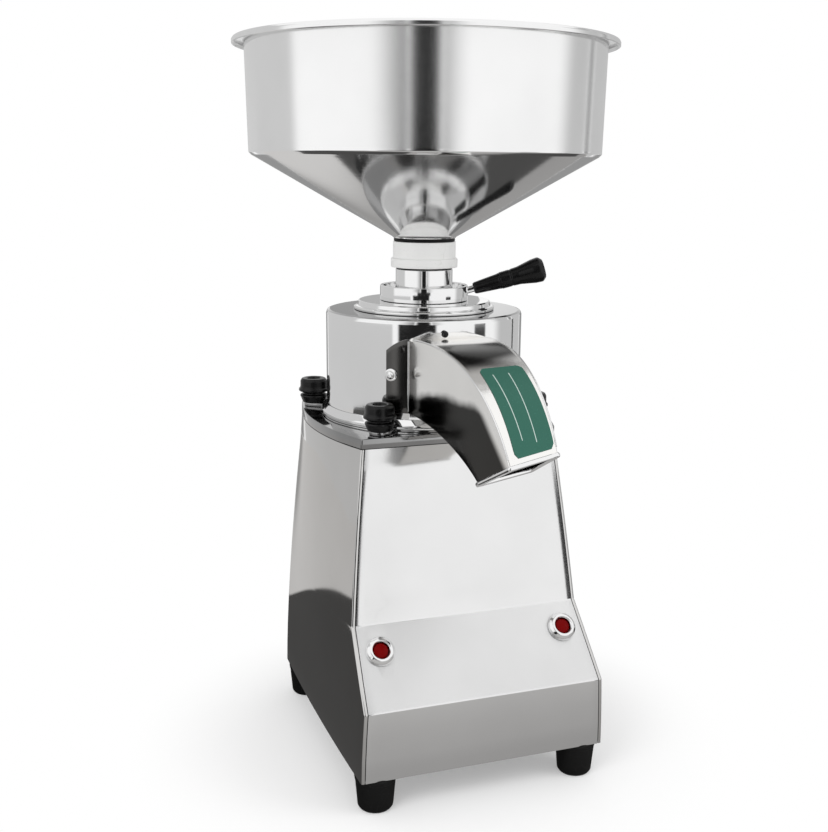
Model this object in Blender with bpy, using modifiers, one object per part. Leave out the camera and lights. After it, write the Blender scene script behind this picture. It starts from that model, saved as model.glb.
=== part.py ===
"""Table-top flour mill: hopper, grinding head, discharge chute and motor stand.

The feed hopper sits on a nylon coupler and a feed tube. A lever turns a collar whose blade opens the
feed tube. Under it a drum, clamped by four knobs, holds the sieve and the hammer rotor, which stands on
the shaft of a motor hung below the top plate of a folded sheet-metal stand.

Metres, +Z up, the front of the mill towards -Y. The origin lies on the table, under the middle of the
whole machine. Heights are above the table, and the pieces are placed from the upright mill axis.
"""
import math

import bmesh
import bpy
from mathutils import Matrix, Vector

MM = 0.001

# Clearances and sheet
SEAT_GAP = 0.3 * MM            # between pieces that rest on each other
OVERRUN = 3.0 * MM             # how far a cutter passes a face
SHEET = 1.2 * MM               # folded stainless sheet
FINE_EDGE = 0.6 * MM

# Smoothness of round pieces, in steps a turn
LARGE_COUNT = 64
MIDDLE_COUNT = 32
SMALL_COUNT = 16

# Feet
FOOT_HEIGHT = 30.2 * MM
FOOT_TOP_RADIUS = 17.8 * MM
FOOT_BOTTOM_RADIUS = 15.0 * MM
FOOT_EDGE = 2.0 * MM
FOOT_SCREW_RADIUS = 5.0 * MM
FOOT_SCREW_DEPTH = 8.0 * MM
FOOT_INSET = 19.5 * MM
FOOT_FRONT_INSET = 16.5 * MM
FOOT_REAR_INSET = 20.0 * MM

# Stand: plan at the top plate and at the foot, front line in three facets
STAND_BOTTOM = FOOT_HEIGHT + SEAT_GAP
STAND_TOP = 293.7 * MM
STAND_REAR_Y = 104.0 * MM
FRONT_TOP_Y = -95.0 * MM
UPPER_CREASE_Y = -115.5 * MM
UPPER_CREASE_Z = 148.0 * MM
LOWER_CREASE_Y = -164.5 * MM
LOWER_CREASE_Z = 91.5 * MM
FRONT_BOTTOM_Y = -163.5 * MM
TOP_HALF_WIDTH = 106.0 * MM
TOP_SIDE_RADIUS = 290.0 * MM
BOTTOM_HALF_WIDTH = 112.0 * MM
BOTTOM_SIDE_RADIUS = 4000.0 * MM
SIDE_BOW_SHARE = 1.5           # how early the sides reach their full width
REAR_BEND = 7.0 * MM
REAR_BEND_START_ANGLE = 30.0
FRONT_BEND = 1.6 * MM
FRONT_RETURN = 3.2 * MM        # side sheet folded on to the front
PANEL_SEAM = 0.5 * MM
SIDE_STATIONS = 9
UPPER_LEVELS = 5
FOOT_HALF_SPACING = BOTTOM_HALF_WIDTH - FOOT_INSET
FOOT_FRONT_Y = FRONT_BOTTOM_Y + FOOT_FRONT_INSET
FOOT_REAR_Y = STAND_REAR_Y - FOOT_REAR_INSET

# Top plate, seal and studs
PLATE_BOTTOM = STAND_TOP + SEAT_GAP
PLATE_THICKNESS = 8.5 * MM
PLATE_TOP = PLATE_BOTTOM + PLATE_THICKNESS
PLATE_BORE = 16.0 * MM
STUD_RADIUS = 3.0 * MM
STUD_CLEARANCE = 0.3 * MM
STUD_BELOW_PLATE = 5.0 * MM
STUD_ABOVE_PLATE = 18.0 * MM
KNOB_ANGLES = {"front_left": -130.0, "front_right": -43.0, "rear_left": 148.0, "rear_right": 32.0}

# Base plate under the motor space
BASE_THICKNESS = 2.0 * MM
VENT_LENGTH = 46.0 * MM
VENT_WIDTH = 5.0 * MM
VENT_PITCH = 14.0 * MM
VENT_COUNT = 7

# Grinding drum
DRUM_RADIUS = 88.2 * MM
DRUM_WALL = 2.0 * MM
DRUM_HEIGHT = 92.8 * MM
DRUM_EDGE = 3.2 * MM
DRUM_STANDS_OFF = 2.0 * MM     # drum wall above the plate
DRUM_TOP = PLATE_TOP + DRUM_STANDS_OFF + DRUM_HEIGHT
FLANGE_WIDTH = 5.0 * MM
FLANGE_RADIUS = DRUM_RADIUS + FLANGE_WIDTH
FLANGE_HEIGHT = 10.0 * MM
FLANGE_RIM_HEIGHT = 3.4 * MM
FLANGE_NECK_WIDTH = 3.0 * MM
FLANGE_NECK_RADIUS = DRUM_RADIUS + FLANGE_NECK_WIDTH
FLANGE_NECK_HEIGHT = 1.8 * MM
EAR_RADIUS = 9.0 * MM
EAR_THICKNESS = 3.0 * MM
EAR_COLUMNS = 10
KNOB_STANDS_OFF = 11.8 * MM    # knob axis outside the flange
KNOB_CIRCLE_RADIUS = FLANGE_RADIUS + KNOB_STANDS_OFF
SIEVE_CLEARANCE = 5.2 * MM
SIEVE_RADIUS = DRUM_RADIUS - DRUM_WALL - SIEVE_CLEARANCE
SIEVE_WALL = 1.2 * MM
SIEVE_SLOT_WIDTH = 2.4 * MM
SIEVE_SLOT_COUNT = 20
SIEVE_MARGIN = 12.0 * MM

# Boss on the drum lid
BOSS_RADIUS = 63.2 * MM
BOSS_STEP = 3.2 * MM
BOSS_LOWER_HEIGHT = 3.0 * MM
BOSS_HEIGHT = 7.6 * MM
BOSS_FOOT = DRUM_TOP + SEAT_GAP
BOSS_TOP = BOSS_FOOT + BOSS_HEIGHT

# Feed tube and gate
TUBE_RADIUS = 25.5 * MM
TUBE_WALL = 1.6 * MM
TUBE_FOOT_RADIUS = 33.0 * MM
TUBE_FOOT_THICKNESS = 4.0 * MM
COLLAR_RADIUS = 39.5 * MM
COLLAR_WALL = 3.0 * MM
COLLAR_FLOOR = 3.0 * MM
COLLAR_HEIGHT = 13.1 * MM
COLLAR_FOOT = BOSS_TOP + SEAT_GAP
COLLAR_TOP = COLLAR_FOOT + COLLAR_HEIGHT
TUBE_ABOVE_COLLAR = 14.4 * MM
TUBE_TOP = COLLAR_TOP + TUBE_ABOVE_COLLAR
BLADE_THICKNESS = 1.5 * MM
BLADE_SWEEP_ANGLE = 170.0
SEAT_SWEEP_ANGLE = 188.0
SEAT_THICKNESS = 1.5 * MM
GATE_TRAVEL_ANGLE = 80.0
SLOT_MARGIN_ANGLE = 3.0

# Lever
LEVER_ANGLE = -19.0
LEVER_RISE_ANGLE = 16.5
LEVER_RADIUS = 3.2 * MM
LEVER_BELOW_RIM = 4.8 * MM     # axis of the stem at the collar wall
LEVER_HEIGHT = COLLAR_TOP - LEVER_BELOW_RIM
STEM_LENGTH = 46.0 * MM
STEM_FREE_LENGTH = 5.5 * MM
GRIP_LENGTH = 66.0 * MM
GRIP_NECK_RADIUS = 5.2 * MM
GRIP_WAIST_RADIUS = 6.8 * MM
GRIP_RING_RADIUS = 7.6 * MM
GRIP_FLARE_RADIUS = 10.6 * MM
GRIP_END_RADIUS = 11.3 * MM
# Along the grip: neck, waist, both sides of its ring, foot and top of its flare, end
GRIP_SHARES = (0.0, 0.30, 0.36, 0.54, 0.64, 0.84, 0.93)
GRIP_CAP_RADIUS_SHARE = 0.72
GRIP_CAP_DROP_SHARE = 0.02

# Coupler and gaskets
GASKET_RADIUS = 25.3 * MM
GASKET_THICKNESS = 1.0 * MM
BEAD_RADIUS = 30.0 * MM
BEAD_HEIGHT = 8.0 * MM
BEAD_END_ANGLE = 75.0
COUPLER_RADIUS = 28.0 * MM
COUPLER_HEIGHT = 22.7 * MM
COUPLER_BORE = 24.2 * MM
UPPER_GASKET_RADIUS = 27.4 * MM
UPPER_GASKET_THICKNESS = 2.4 * MM

# Hopper
HOPPER_RADIUS = 155.6 * MM
HOPPER_TAPER = 1.8 * MM
HOPPER_WALL = 1.2 * MM
HOPPER_RIM_WIDTH = 10.4 * MM
HOPPER_RIM_RADIUS = HOPPER_RADIUS + HOPPER_RIM_WIDTH
HOPPER_LIP = 5.4 * MM
HOPPER_RIM_EDGE = 1.6 * MM
CONE_HEIGHT = 71.7 * MM
CYLINDER_HEIGHT = 95.0 * MM
CONE_BEND = 3.0 * MM
CONE_FOOT_RADIUS = 28.3 * MM
SPIGOT_CLEARANCE = 0.6 * MM
SPIGOT_RADIUS = COUPLER_BORE - SPIGOT_CLEARANCE
SPIGOT_DEPTH = 14.0 * MM

# Chute: side view as two curves from the drum to the mouth, and its plan
CHUTE_ROOT_INSET = 10.2 * MM
CHUTE_BELOW_LID = 16.3 * MM
CHUTE_FLOOR_RISE = 15.5 * MM   # its floor above the plate
CHUTE_CREST_REACH = 60.0 * MM
CHUTE_CREST_RISE = 8.0 * MM
CHUTE_SHOULDER_REACH = 127.0 * MM
CHUTE_SHOULDER_DROP = 8.0 * MM
CHUTE_MOUTH_REACH = 163.0 * MM
CHUTE_MOUTH_DROP = 71.0 * MM
CHUTE_BELLY_REACH = 37.0 * MM
CHUTE_BELLY_RISE = 1.0 * MM
CHUTE_HEEL_REACH = 87.0 * MM
CHUTE_HEEL_DROP = 12.0 * MM
CHUTE_MOUTH_FLOOR_REACH = 117.0 * MM
CHUTE_MOUTH_FLOOR_DROP = 31.2 * MM
CHUTE_ROOT_Y = CHUTE_ROOT_INSET - DRUM_RADIUS
CHUTE_TOP_Z = DRUM_TOP - CHUTE_BELOW_LID
CHUTE_FLOOR_Z = PLATE_TOP + CHUTE_FLOOR_RISE
CHUTE_MOUTH_Y = CHUTE_ROOT_Y - CHUTE_MOUTH_REACH
CHUTE_TURN_BACK = 8.0 * MM     # right side of the mouth behind its left
CHUTE_TURN_UP = 6.0 * MM       # and above it
CHUTE_ROOT_LEFT = -42.0 * MM
CHUTE_ROOT_RIGHT = 25.0 * MM
CHUTE_MOUTH_LEFT = -20.0 * MM
CHUTE_MOUTH_RIGHT = 22.5 * MM
CHUTE_STATIONS = 12
CHUTE_HEM = 1.3 * MM
CHUTE_HEM_LENGTH = 3.6 * MM
CHUTE_INTO_DRUM = 16.0 * MM
TAB_WIDTH = 16.0 * MM
TAB_DROP = 10.0 * MM           # its free corner below its fold
TAB_COLUMNS = 6
TOP_FLANGE_HEIGHT = 6.5 * MM
TOP_FLANGE_END_HEIGHT = 1.0 * MM
TOP_FLANGE_COLUMNS = 12
OUTLET_MARGIN = 2.2 * MM       # drum opening inside the chute
BOLT_HEAD_RADIUS = 3.6 * MM
BOLT_WASHER_RADIUS = 5.6 * MM
BOLT_WASHER_THICKNESS = 1.2 * MM
BOLT_HEAD_HEIGHT = 3.2 * MM
BOLT_SHANK_RADIUS = 1.9 * MM
BOLT_SHANK_LENGTH = 6.0 * MM
SIDE_BOLT_X = -53.5 * MM
SIDE_BOLT_DROP = 30.0 * MM     # below the chute's top
TOP_BOLT_X = -13.0 * MM
TOP_BOLT_HEAD_RADIUS = 2.2 * MM

# Clamp knobs
KNOB_HEIGHT = 22.5 * MM
KNOB_BARREL_RADIUS = 12.4 * MM
KNOB_RING_RADIUS = 14.0 * MM
KNOB_NECK_RADIUS = 10.0 * MM
KNOB_FLANGE_RADIUS = 12.8 * MM
KNOB_FOOT_RADIUS = 10.4 * MM
KNOB_HOLE_RADIUS = 6.0 * MM
KNOB_HOLE_DEPTH = 3.5 * MM
KNOB_EDGE = 1.8 * MM
KNOB_STEP = 0.8 * MM
# Feet of its barrel, ring, neck and flange, as shares of its height
KNOB_SHARES = (0.56, 0.45, 0.33, 0.24)

# Push-buttons on the sloping facet
BUTTON_X = 83.2 * MM
BUTTON_SLOPE_SHARE = 0.32      # down the facet, from its upper crease
BEZEL_RADIUS = 12.8 * MM
BEZEL_HEIGHT = 5.2 * MM
BEZEL_BORE = 7.1 * MM
BEZEL_LAND = 1.0 * MM
LENS_RADIUS = 6.7 * MM
LENS_RECESS = 1.2 * MM
LENS_CROWN = 0.8 * MM
LENS_DEPTH = 8.0 * MM
SWITCH_RADIUS = 8.4 * MM
SWITCH_LENGTH = 30.0 * MM
SWITCH_WELL = 12.0 * MM
SWITCH_NUT_RADIUS = 12.2 * MM
SWITCH_NUT_THICKNESS = 3.5 * MM

# Motor
SHAFT_RADIUS = 8.0 * MM
SHAFT_RISE = 37.0 * MM         # above the plate
MOTOR_RADIUS = 70.0 * MM
MOTOR_WALL = 3.0 * MM
MOTOR_DEPTH = 143.7 * MM       # below the plate
MOTOR_BOTTOM = STAND_TOP - MOTOR_DEPTH
SHAFT_TAIL = 38.0 * MM         # below the motor
SHAFT_BOTTOM = MOTOR_BOTTOM - SHAFT_TAIL
SHAFT_TOP = PLATE_TOP + SHAFT_RISE
BELL_FLANGE_RADIUS = 80.0 * MM
BELL_FLANGE_THICKNESS = 6.0 * MM
BELL_SPIGOT_DEPTH = 18.0 * MM
BELL_BORE = 17.0 * MM
TAIL_THICKNESS = 10.0 * MM
STATOR_BORE = 42.0 * MM
STATOR_RISE = 35.0 * MM
STATOR_HEIGHT = 70.0 * MM
STATOR_BOTTOM = MOTOR_BOTTOM + STATOR_RISE
STATOR_TOP = STATOR_BOTTOM + STATOR_HEIGHT
CORE_RADIUS = 41.4 * MM
BEARING_WIDTH = 9.0 * MM
SEAL_LIP = 1.0 * MM
FAN_RADIUS = 58.0 * MM
FAN_ABOVE_TAIL = 4.0 * MM
FAN_BOTTOM = SHAFT_BOTTOM + FAN_ABOVE_TAIL
FAN_DISC = 2.0 * MM
FAN_HEIGHT = 15.0 * MM
FAN_BLADES = 8
FAN_BLADE_WIDTH = 2.0 * MM
FAN_HUB_RADIUS = 15.0 * MM
MOTOR_BOLT_CIRCLE = 72.0 * MM
MOTOR_BOLT_RADIUS = 2.5 * MM
MOTOR_BOLT_HEAD_RADIUS = 4.5 * MM
MOTOR_BOLT_HEAD = 3.0 * MM
MOTOR_BOLT_GRIP = 12.0 * MM
MOTOR_BOLT_ANGLES = (45.0, 135.0, 225.0, 315.0)
CAPACITOR_RADIUS = 17.5 * MM
CAPACITOR_HEIGHT = 72.0 * MM
CAPACITOR_INSET = 38.0 * MM
CAPACITOR_X = BOTTOM_HALF_WIDTH - CAPACITOR_INSET
CAPACITOR_Y = STAND_REAR_Y - CAPACITOR_INSET

# Hammer rotor
ROTOR_CLEARANCE = 6.0 * MM     # above the plate, over the motor bolts
ROTOR_SIDE_CLEARANCE = 9.8 * MM
ROTOR_RADIUS = SIEVE_RADIUS - SIEVE_WALL - ROTOR_SIDE_CLEARANCE
ROTOR_DISC = 5.0 * MM
ROTOR_HUB_RADIUS = 18.0 * MM
ROTOR_HUB_HEIGHT = 24.0 * MM
HAMMER_COUNT = 8
HAMMER_LENGTH = 16.0 * MM
HAMMER_WIDTH = 7.0 * MM
HAMMER_HEIGHT = 48.0 * MM
ROTOR_NUT_RADIUS = 13.0 * MM
ROTOR_NUT_HEIGHT = 9.0 * MM

# Cord inlet at the back
GLAND_INSET = 42.0 * MM
GLAND_RISE = 31.5 * MM
GLAND_X = GLAND_INSET - BOTTOM_HALF_WIDTH
GLAND_Z = STAND_BOTTOM + GLAND_RISE
GLAND_BARREL_RADIUS = 7.8 * MM
GLAND_FLANGE_RADIUS = 11.0 * MM
GLAND_NOSE_RADIUS = 6.6 * MM
GLAND_BORE = 3.8 * MM
GLAND_LENGTH = 17.0 * MM
GLAND_FLANGE = 4.0 * MM
GLAND_INSIDE = 9.0 * MM

# The chute reaches further forward than the hopper rim reaches back, so the mill axis
# stands behind the middle of the machine.
CHUTE_REACH = -CHUTE_MOUTH_Y + CHUTE_HEM_LENGTH
AXIS_Y = (CHUTE_REACH - HOPPER_RIM_RADIUS) / 2


def clear_scene():
    for old in list(bpy.data.objects):
        bpy.data.objects.remove(old, do_unlink=True)


def new_collection(name):
    group = bpy.data.collections.new(name)
    bpy.context.scene.collection.children.link(group)
    return group


clear_scene()
MILL = new_collection("flour_mill")
CUTTERS = new_collection("cutters")

mill_axis = bpy.data.objects.new("mill_axis", None)
mill_axis.location = (0, AXIS_Y, 0)
MILL.objects.link(mill_axis)


def finish(name, colour, roughness, metallic):
    material = bpy.data.materials.new(name)
    material.use_nodes = True
    shader = material.node_tree.nodes["Principled BSDF"]
    shader.inputs["Base Color"].default_value = (*colour, 1)
    shader.inputs["Roughness"].default_value = roughness
    shader.inputs["Metallic"].default_value = metallic
    return material


STEEL = (0.62, 0.61, 0.6)
POLISHED = (0.78, 0.78, 0.78)
BLACK = (0.012, 0.012, 0.013)
GREY_CAST = (0.3, 0.3, 0.31)
NYLON = (0.86, 0.86, 0.85)
RUBY = (0.22, 0.004, 0.006)
COPPER_BROWN = (0.3, 0.16, 0.09)


def place(obj, colour, roughness, metallic, parent=None, location=(0, 0, 0), turn=None):
    """Link a piece, give it its material and put it on the mill axis or on its own joint."""
    MILL.objects.link(obj)
    obj.data.materials.append(finish(obj.name + "_finish", colour, roughness, metallic))
    obj.parent = parent or mill_axis
    obj.location = location
    if turn is not None:
        obj.rotation_euler = turn
    return obj


def mesh_object(name, bm):
    mesh = bpy.data.meshes.new(name)
    bm.to_mesh(mesh)
    bm.free()
    return bpy.data.objects.new(name, mesh)


def turned(name, profile, steps):
    """Turn a profile of radius and height round Z. It runs down its outer side, top to bottom."""
    on_axis = profile[0][0] == 0
    bm = bmesh.new()
    points = [bm.verts.new((radius, 0, height)) for radius, height in profile]
    for first, second in zip(points, points[1:]):
        bm.edges.new((first, second))
    if not on_axis:
        bm.edges.new((points[-1], points[0]))
    obj = mesh_object(name, bm)
    screw = obj.modifiers.new("turn", "SCREW")
    screw.steps = steps
    screw.render_steps = steps
    screw.use_merge_vertices = True
    screw.merge_threshold = 0.00001
    screw.use_smooth_shade = True
    return obj


def ring(name, outer, inner, bottom, top, steps, edge=0.0):
    """A turned ring, with its outer edges broken by edge."""
    if edge:
        profile = [(outer - edge, top), (outer, top - edge), (outer, bottom + edge), (outer - edge, bottom)]
    else:
        profile = [(outer, top), (outer, bottom)]
    return turned(name, profile + [(inner, bottom), (inner, top)], steps)


def arc(radius, height, bend, start, end, count):
    """Points of a rounded corner in a profile, its centre at radius and height, angles in degrees."""
    points = []
    for step in range(count + 1):
        angle = math.radians(start + (end - start) * step / count)
        points.append((radius + bend * math.cos(angle), height + bend * math.sin(angle)))
    return points


def cylinder_mesh(name, radius, low, high, steps):
    bm = bmesh.new()
    bmesh.ops.create_cone(bm, cap_ends=True, segments=steps, radius1=radius, radius2=radius,
                          depth=high - low)
    bmesh.ops.translate(bm, verts=bm.verts, vec=(0, 0, (high + low) / 2))
    return mesh_object(name, bm)


def box_mesh(name, low, high):
    bm = bmesh.new()
    bmesh.ops.create_cube(bm, size=1)
    size = [b - a for a, b in zip(low, high)]
    bmesh.ops.scale(bm, verts=bm.verts, vec=size)
    bmesh.ops.translate(bm, verts=bm.verts, vec=[(a + b) / 2 for a, b in zip(low, high)])
    return mesh_object(name, bm)


def slab(name, outline, bottom, thickness):
    """A flat piece from a closed outline, as a mesh so that it can be cut."""
    curve = bpy.data.curves.new(name + "_outline", "CURVE")
    curve.dimensions = "2D"
    curve.fill_mode = "BOTH"
    curve.extrude = thickness / 2
    spline = curve.splines.new("POLY")
    spline.points.add(len(outline) - 1)
    for point, (x, y) in zip(spline.points, outline):
        point.co = (x, y, 0, 1)
    spline.use_cyclic_u = True
    flat = bpy.data.objects.new(name + "_flat", curve)
    bpy.context.scene.collection.objects.link(flat)
    bpy.context.view_layer.update()
    shape = flat.evaluated_get(bpy.context.evaluated_depsgraph_get())
    mesh = bpy.data.meshes.new_from_object(shape)
    bpy.data.objects.remove(flat, do_unlink=True)
    bm = bmesh.new()
    bm.from_mesh(mesh)
    bpy.data.meshes.remove(mesh)
    bmesh.ops.remove_doubles(bm, verts=bm.verts, dist=0.00001)
    bmesh.ops.recalc_face_normals(bm, faces=bm.faces)
    bmesh.ops.translate(bm, verts=bm.verts, vec=(0, 0, bottom + thickness / 2))
    return mesh_object(name, bm)


def sector(radius, middle, sweep, count):
    """Outline of a pie slice round the axis, angles in degrees."""
    outline = [(0, 0)]
    for step in range(count + 1):
        angle = math.radians(middle - sweep / 2 + sweep * step / count)
        outline.append((radius * math.cos(angle), radius * math.sin(angle)))
    return outline


def as_cutter(obj, parent=None, matrix=None):
    """Keep a shape as a guide for Boolean modifiers: drawn as wire, not rendered."""
    CUTTERS.objects.link(obj)
    obj.parent = parent or mill_axis
    if matrix is not None:
        obj.matrix_local = matrix
    obj.hide_render = True
    obj.display_type = "WIRE"
    return obj


def combine(target, tool, operation="DIFFERENCE"):
    change = target.modifiers.new(tool.name, "BOOLEAN")
    change.operation = operation
    change.solver = "EXACT"
    change.object = tool


def hex_nut(name, radius, bore, low, high, matrix):
    nut = cylinder_mesh(name, radius, low, high, 6)
    hole = cylinder_mesh(name + "_bore", bore, low - OVERRUN, high + OVERRUN, MIDDLE_COUNT)
    combine(nut, as_cutter(hole, matrix=matrix))
    return nut


def solidify(obj, thickness):
    wall = obj.modifiers.new("wall", "SOLIDIFY")
    wall.thickness = thickness
    wall.offset = -1
    wall.use_even_offset = True


def blend(low, high, share):
    return low + (high - low) * share


def round_place(radius, angle):
    turn = math.radians(angle)
    return radius * math.cos(turn), radius * math.sin(turn)


# Plan of the stand

def front_line(height):
    """How far forward the front stands at a height."""
    line = [(STAND_TOP, FRONT_TOP_Y), (UPPER_CREASE_Z, UPPER_CREASE_Y),
            (LOWER_CREASE_Z, LOWER_CREASE_Y), (STAND_BOTTOM, FRONT_BOTTOM_Y)]
    for (high, y_high), (low, y_low) in zip(line, line[1:]):
        if height >= low:
            return blend(y_low, y_high, (height - low) / (high - low))
    return FRONT_BOTTOM_Y


def bowed(half_width, radius, along, front, rear):
    """Half width of a plan whose sides are arcs, along it from front to rear."""
    from_middle = blend(front, rear, along) - (front + rear) / 2
    return half_width - radius + math.sqrt(radius ** 2 - from_middle ** 2)


def side_at(along, height):
    """Half width of the stand, along its depth and at a height."""
    down = (STAND_TOP - height) / (STAND_TOP - STAND_BOTTOM)
    top = bowed(TOP_HALF_WIDTH, TOP_SIDE_RADIUS, along, FRONT_TOP_Y, STAND_REAR_Y)
    bottom = bowed(BOTTOM_HALF_WIDTH, BOTTOM_SIDE_RADIUS, along, FRONT_BOTTOM_Y, STAND_REAR_Y)
    return blend(top, bottom, 1 - (1 - down) ** SIDE_BOW_SHARE)


def half_plan(height, inset=0.0):
    """Right half of the plan, from the front corner round to the rear."""
    front = front_line(height) + inset
    rear = STAND_REAR_Y - inset
    points = [(side_at(0, height) - inset - FRONT_BEND, front)]
    for station in range(SIDE_STATIONS + 1):
        along = station / SIDE_STATIONS
        points.append((side_at(along, height) - inset, blend(front + FRONT_BEND, rear - REAR_BEND, along)))
    centre = (side_at(1, height) - inset - REAR_BEND, rear - REAR_BEND)
    points += arc(*centre, REAR_BEND, REAR_BEND_START_ANGLE, 90, 2)
    return points


def whole_plan(height, inset=0.0):
    right = half_plan(height, inset)
    return right + [(-x, y) for x, y in reversed(right)]


def stand_levels():
    levels = [blend(STAND_TOP, UPPER_CREASE_Z, step / UPPER_LEVELS) for step in range(UPPER_LEVELS + 1)]
    return levels + [LOWER_CREASE_Z, STAND_BOTTOM]


def sheet_from_rows(name, rows):
    """An open sheet through rows of points, each row of the same length."""
    bm = bmesh.new()
    grid = [[bm.verts.new(point) for point in row] for row in rows]
    for upper, lower in zip(grid, grid[1:]):
        for corner in range(len(upper) - 1):
            bm.faces.new((upper[corner], lower[corner], lower[corner + 1], upper[corner + 1]))
    return mesh_object(name, bm)


def gland_place():
    return Matrix.Translation((GLAND_X, STAND_REAR_Y, GLAND_Z)) @ Matrix.Rotation(-math.pi / 2, 4, "X")


def make_stand():
    rows = []
    for height in stand_levels():
        plan = whole_plan(height)
        inner_x = side_at(0, height) - FRONT_RETURN
        front = front_line(height)
        plan = [(inner_x, front)] + plan + [(-inner_x, front)]
        rows.append([(x, y, height) for x, y in plan])
    shell = sheet_from_rows("body_shell", rows)
    solidify(shell, SHEET)
    hole = cylinder_mesh("gland_hole", GLAND_BARREL_RADIUS + SEAT_GAP, -OVERRUN, OVERRUN, SMALL_COUNT)
    combine(shell, as_cutter(hole, matrix=gland_place()))
    place(shell, STEEL, 0.22, 1)

    levels = [STAND_TOP, UPPER_CREASE_Z, LOWER_CREASE_Z, STAND_BOTTOM]
    rows = []
    for height in levels:
        half = side_at(0, height) - FRONT_RETURN - PANEL_SEAM
        rows.append([(-half, front_line(height), height), (half, front_line(height), height)])
    panel = sheet_from_rows("front_panel", rows)
    solidify(panel, SHEET)
    place(panel, STEEL, 0.18, 1)
    return panel


def make_plates():
    plan = whole_plan(STAND_TOP)
    plate = slab("top_plate", plan, PLATE_BOTTOM, PLATE_THICKNESS)
    edge = plate.modifiers.new("edge", "BEVEL")
    edge.width = FINE_EDGE
    edge.segments = 2
    edge.angle_limit = math.radians(50)
    low, high = PLATE_BOTTOM - OVERRUN, PLATE_TOP + OVERRUN
    combine(plate, as_cutter(cylinder_mesh("plate_bore", PLATE_BORE, low, high, MIDDLE_COUNT)))
    for corner, angle in KNOB_ANGLES.items():
        hole = cylinder_mesh("stud_hole_" + corner, STUD_RADIUS + STUD_CLEARANCE, low, high, SMALL_COUNT)
        x, y = round_place(KNOB_CIRCLE_RADIUS, angle)
        combine(plate, as_cutter(hole, matrix=Matrix.Translation((x, y, 0))))
    for number, angle in enumerate(MOTOR_BOLT_ANGLES, 1):
        hole = cylinder_mesh(f"motor_hole_{number}", MOTOR_BOLT_RADIUS + SEAT_GAP,
                             PLATE_BOTTOM - BELL_FLANGE_THICKNESS - OVERRUN, high, SMALL_COUNT)
        x, y = round_place(MOTOR_BOLT_CIRCLE, angle)
        combine(plate, as_cutter(hole, matrix=Matrix.Translation((x, y, 0))))
    place(plate, POLISHED, 0.12, 1)

    inset = SHEET + SEAT_GAP
    base = slab("base_plate", whole_plan(STAND_BOTTOM, inset), STAND_BOTTOM, BASE_THICKNESS)
    middle = (FOOT_FRONT_Y + FOOT_REAR_Y) / 2
    for number in range(VENT_COUNT):
        x = (number - (VENT_COUNT - 1) / 2) * VENT_PITCH
        vent_top = STAND_BOTTOM + BASE_THICKNESS + OVERRUN
        slot = box_mesh(f"vent_{number + 1}",
                        (x - VENT_WIDTH / 2, middle - VENT_LENGTH / 2, STAND_BOTTOM - OVERRUN),
                        (x + VENT_WIDTH / 2, middle + VENT_LENGTH / 2, vent_top))
        combine(base, as_cutter(slot))
    place(base, STEEL, 0.35, 1)


def make_feet():
    profile = [(0, FOOT_HEIGHT), (FOOT_TOP_RADIUS, FOOT_HEIGHT)]
    profile += arc(FOOT_BOTTOM_RADIUS - FOOT_EDGE, FOOT_EDGE, FOOT_EDGE, 0, -90, 3)
    profile += [(FOOT_SCREW_RADIUS, 0), (FOOT_SCREW_RADIUS, FOOT_SCREW_DEPTH), (0, FOOT_SCREW_DEPTH)]
    places = {"front_left": (-FOOT_HALF_SPACING, FOOT_FRONT_Y),
              "front_right": (FOOT_HALF_SPACING, FOOT_FRONT_Y),
              "rear_left": (-FOOT_HALF_SPACING, FOOT_REAR_Y),
              "rear_right": (FOOT_HALF_SPACING, FOOT_REAR_Y)}
    for corner, (x, y) in places.items():
        place(turned("foot_" + corner, profile, SMALL_COUNT), BLACK, 0.7, 0, location=(x, y, 0))


def make_knobs():
    """Clamp knobs with their stepped barrels, each on its stud over an ear of the drum flange."""
    seat = PLATE_TOP + SEAT_GAP + EAR_THICKNESS + SEAT_GAP
    barrel_foot, ring_foot, neck_foot, flange_foot = (KNOB_HEIGHT * share for share in KNOB_SHARES)
    profile = [(0, KNOB_HEIGHT - KNOB_HOLE_DEPTH), (KNOB_HOLE_RADIUS, KNOB_HEIGHT - KNOB_HOLE_DEPTH),
               (KNOB_HOLE_RADIUS, KNOB_HEIGHT)]
    profile += arc(KNOB_BARREL_RADIUS - KNOB_EDGE, KNOB_HEIGHT - KNOB_EDGE, KNOB_EDGE, 90, 0, 3)
    profile += [(KNOB_BARREL_RADIUS, barrel_foot + KNOB_STEP), (KNOB_RING_RADIUS, barrel_foot),
                (KNOB_RING_RADIUS, ring_foot), (KNOB_NECK_RADIUS, ring_foot - KNOB_STEP),
                (KNOB_NECK_RADIUS, neck_foot), (KNOB_FLANGE_RADIUS, neck_foot - KNOB_STEP),
                (KNOB_FLANGE_RADIUS, flange_foot), (KNOB_FOOT_RADIUS, 0),
                (STUD_RADIUS + STUD_CLEARANCE, 0),
                (STUD_RADIUS + STUD_CLEARANCE, KNOB_HEIGHT - KNOB_HOLE_DEPTH - KNOB_EDGE),
                (0, KNOB_HEIGHT - KNOB_HOLE_DEPTH - KNOB_EDGE)]
    for corner, angle in KNOB_ANGLES.items():
        x, y = round_place(KNOB_CIRCLE_RADIUS, angle)
        place(turned("clamp_knob_" + corner, profile, SMALL_COUNT), BLACK, 0.45, 0, location=(x, y, seat))
        stud = cylinder_mesh("clamp_stud_" + corner, STUD_RADIUS, PLATE_BOTTOM - STUD_BELOW_PLATE,
                             PLATE_TOP + STUD_ABOVE_PLATE, SMALL_COUNT)
        place(stud, STEEL, 0.3, 1, location=(x, y, 0))


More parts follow.
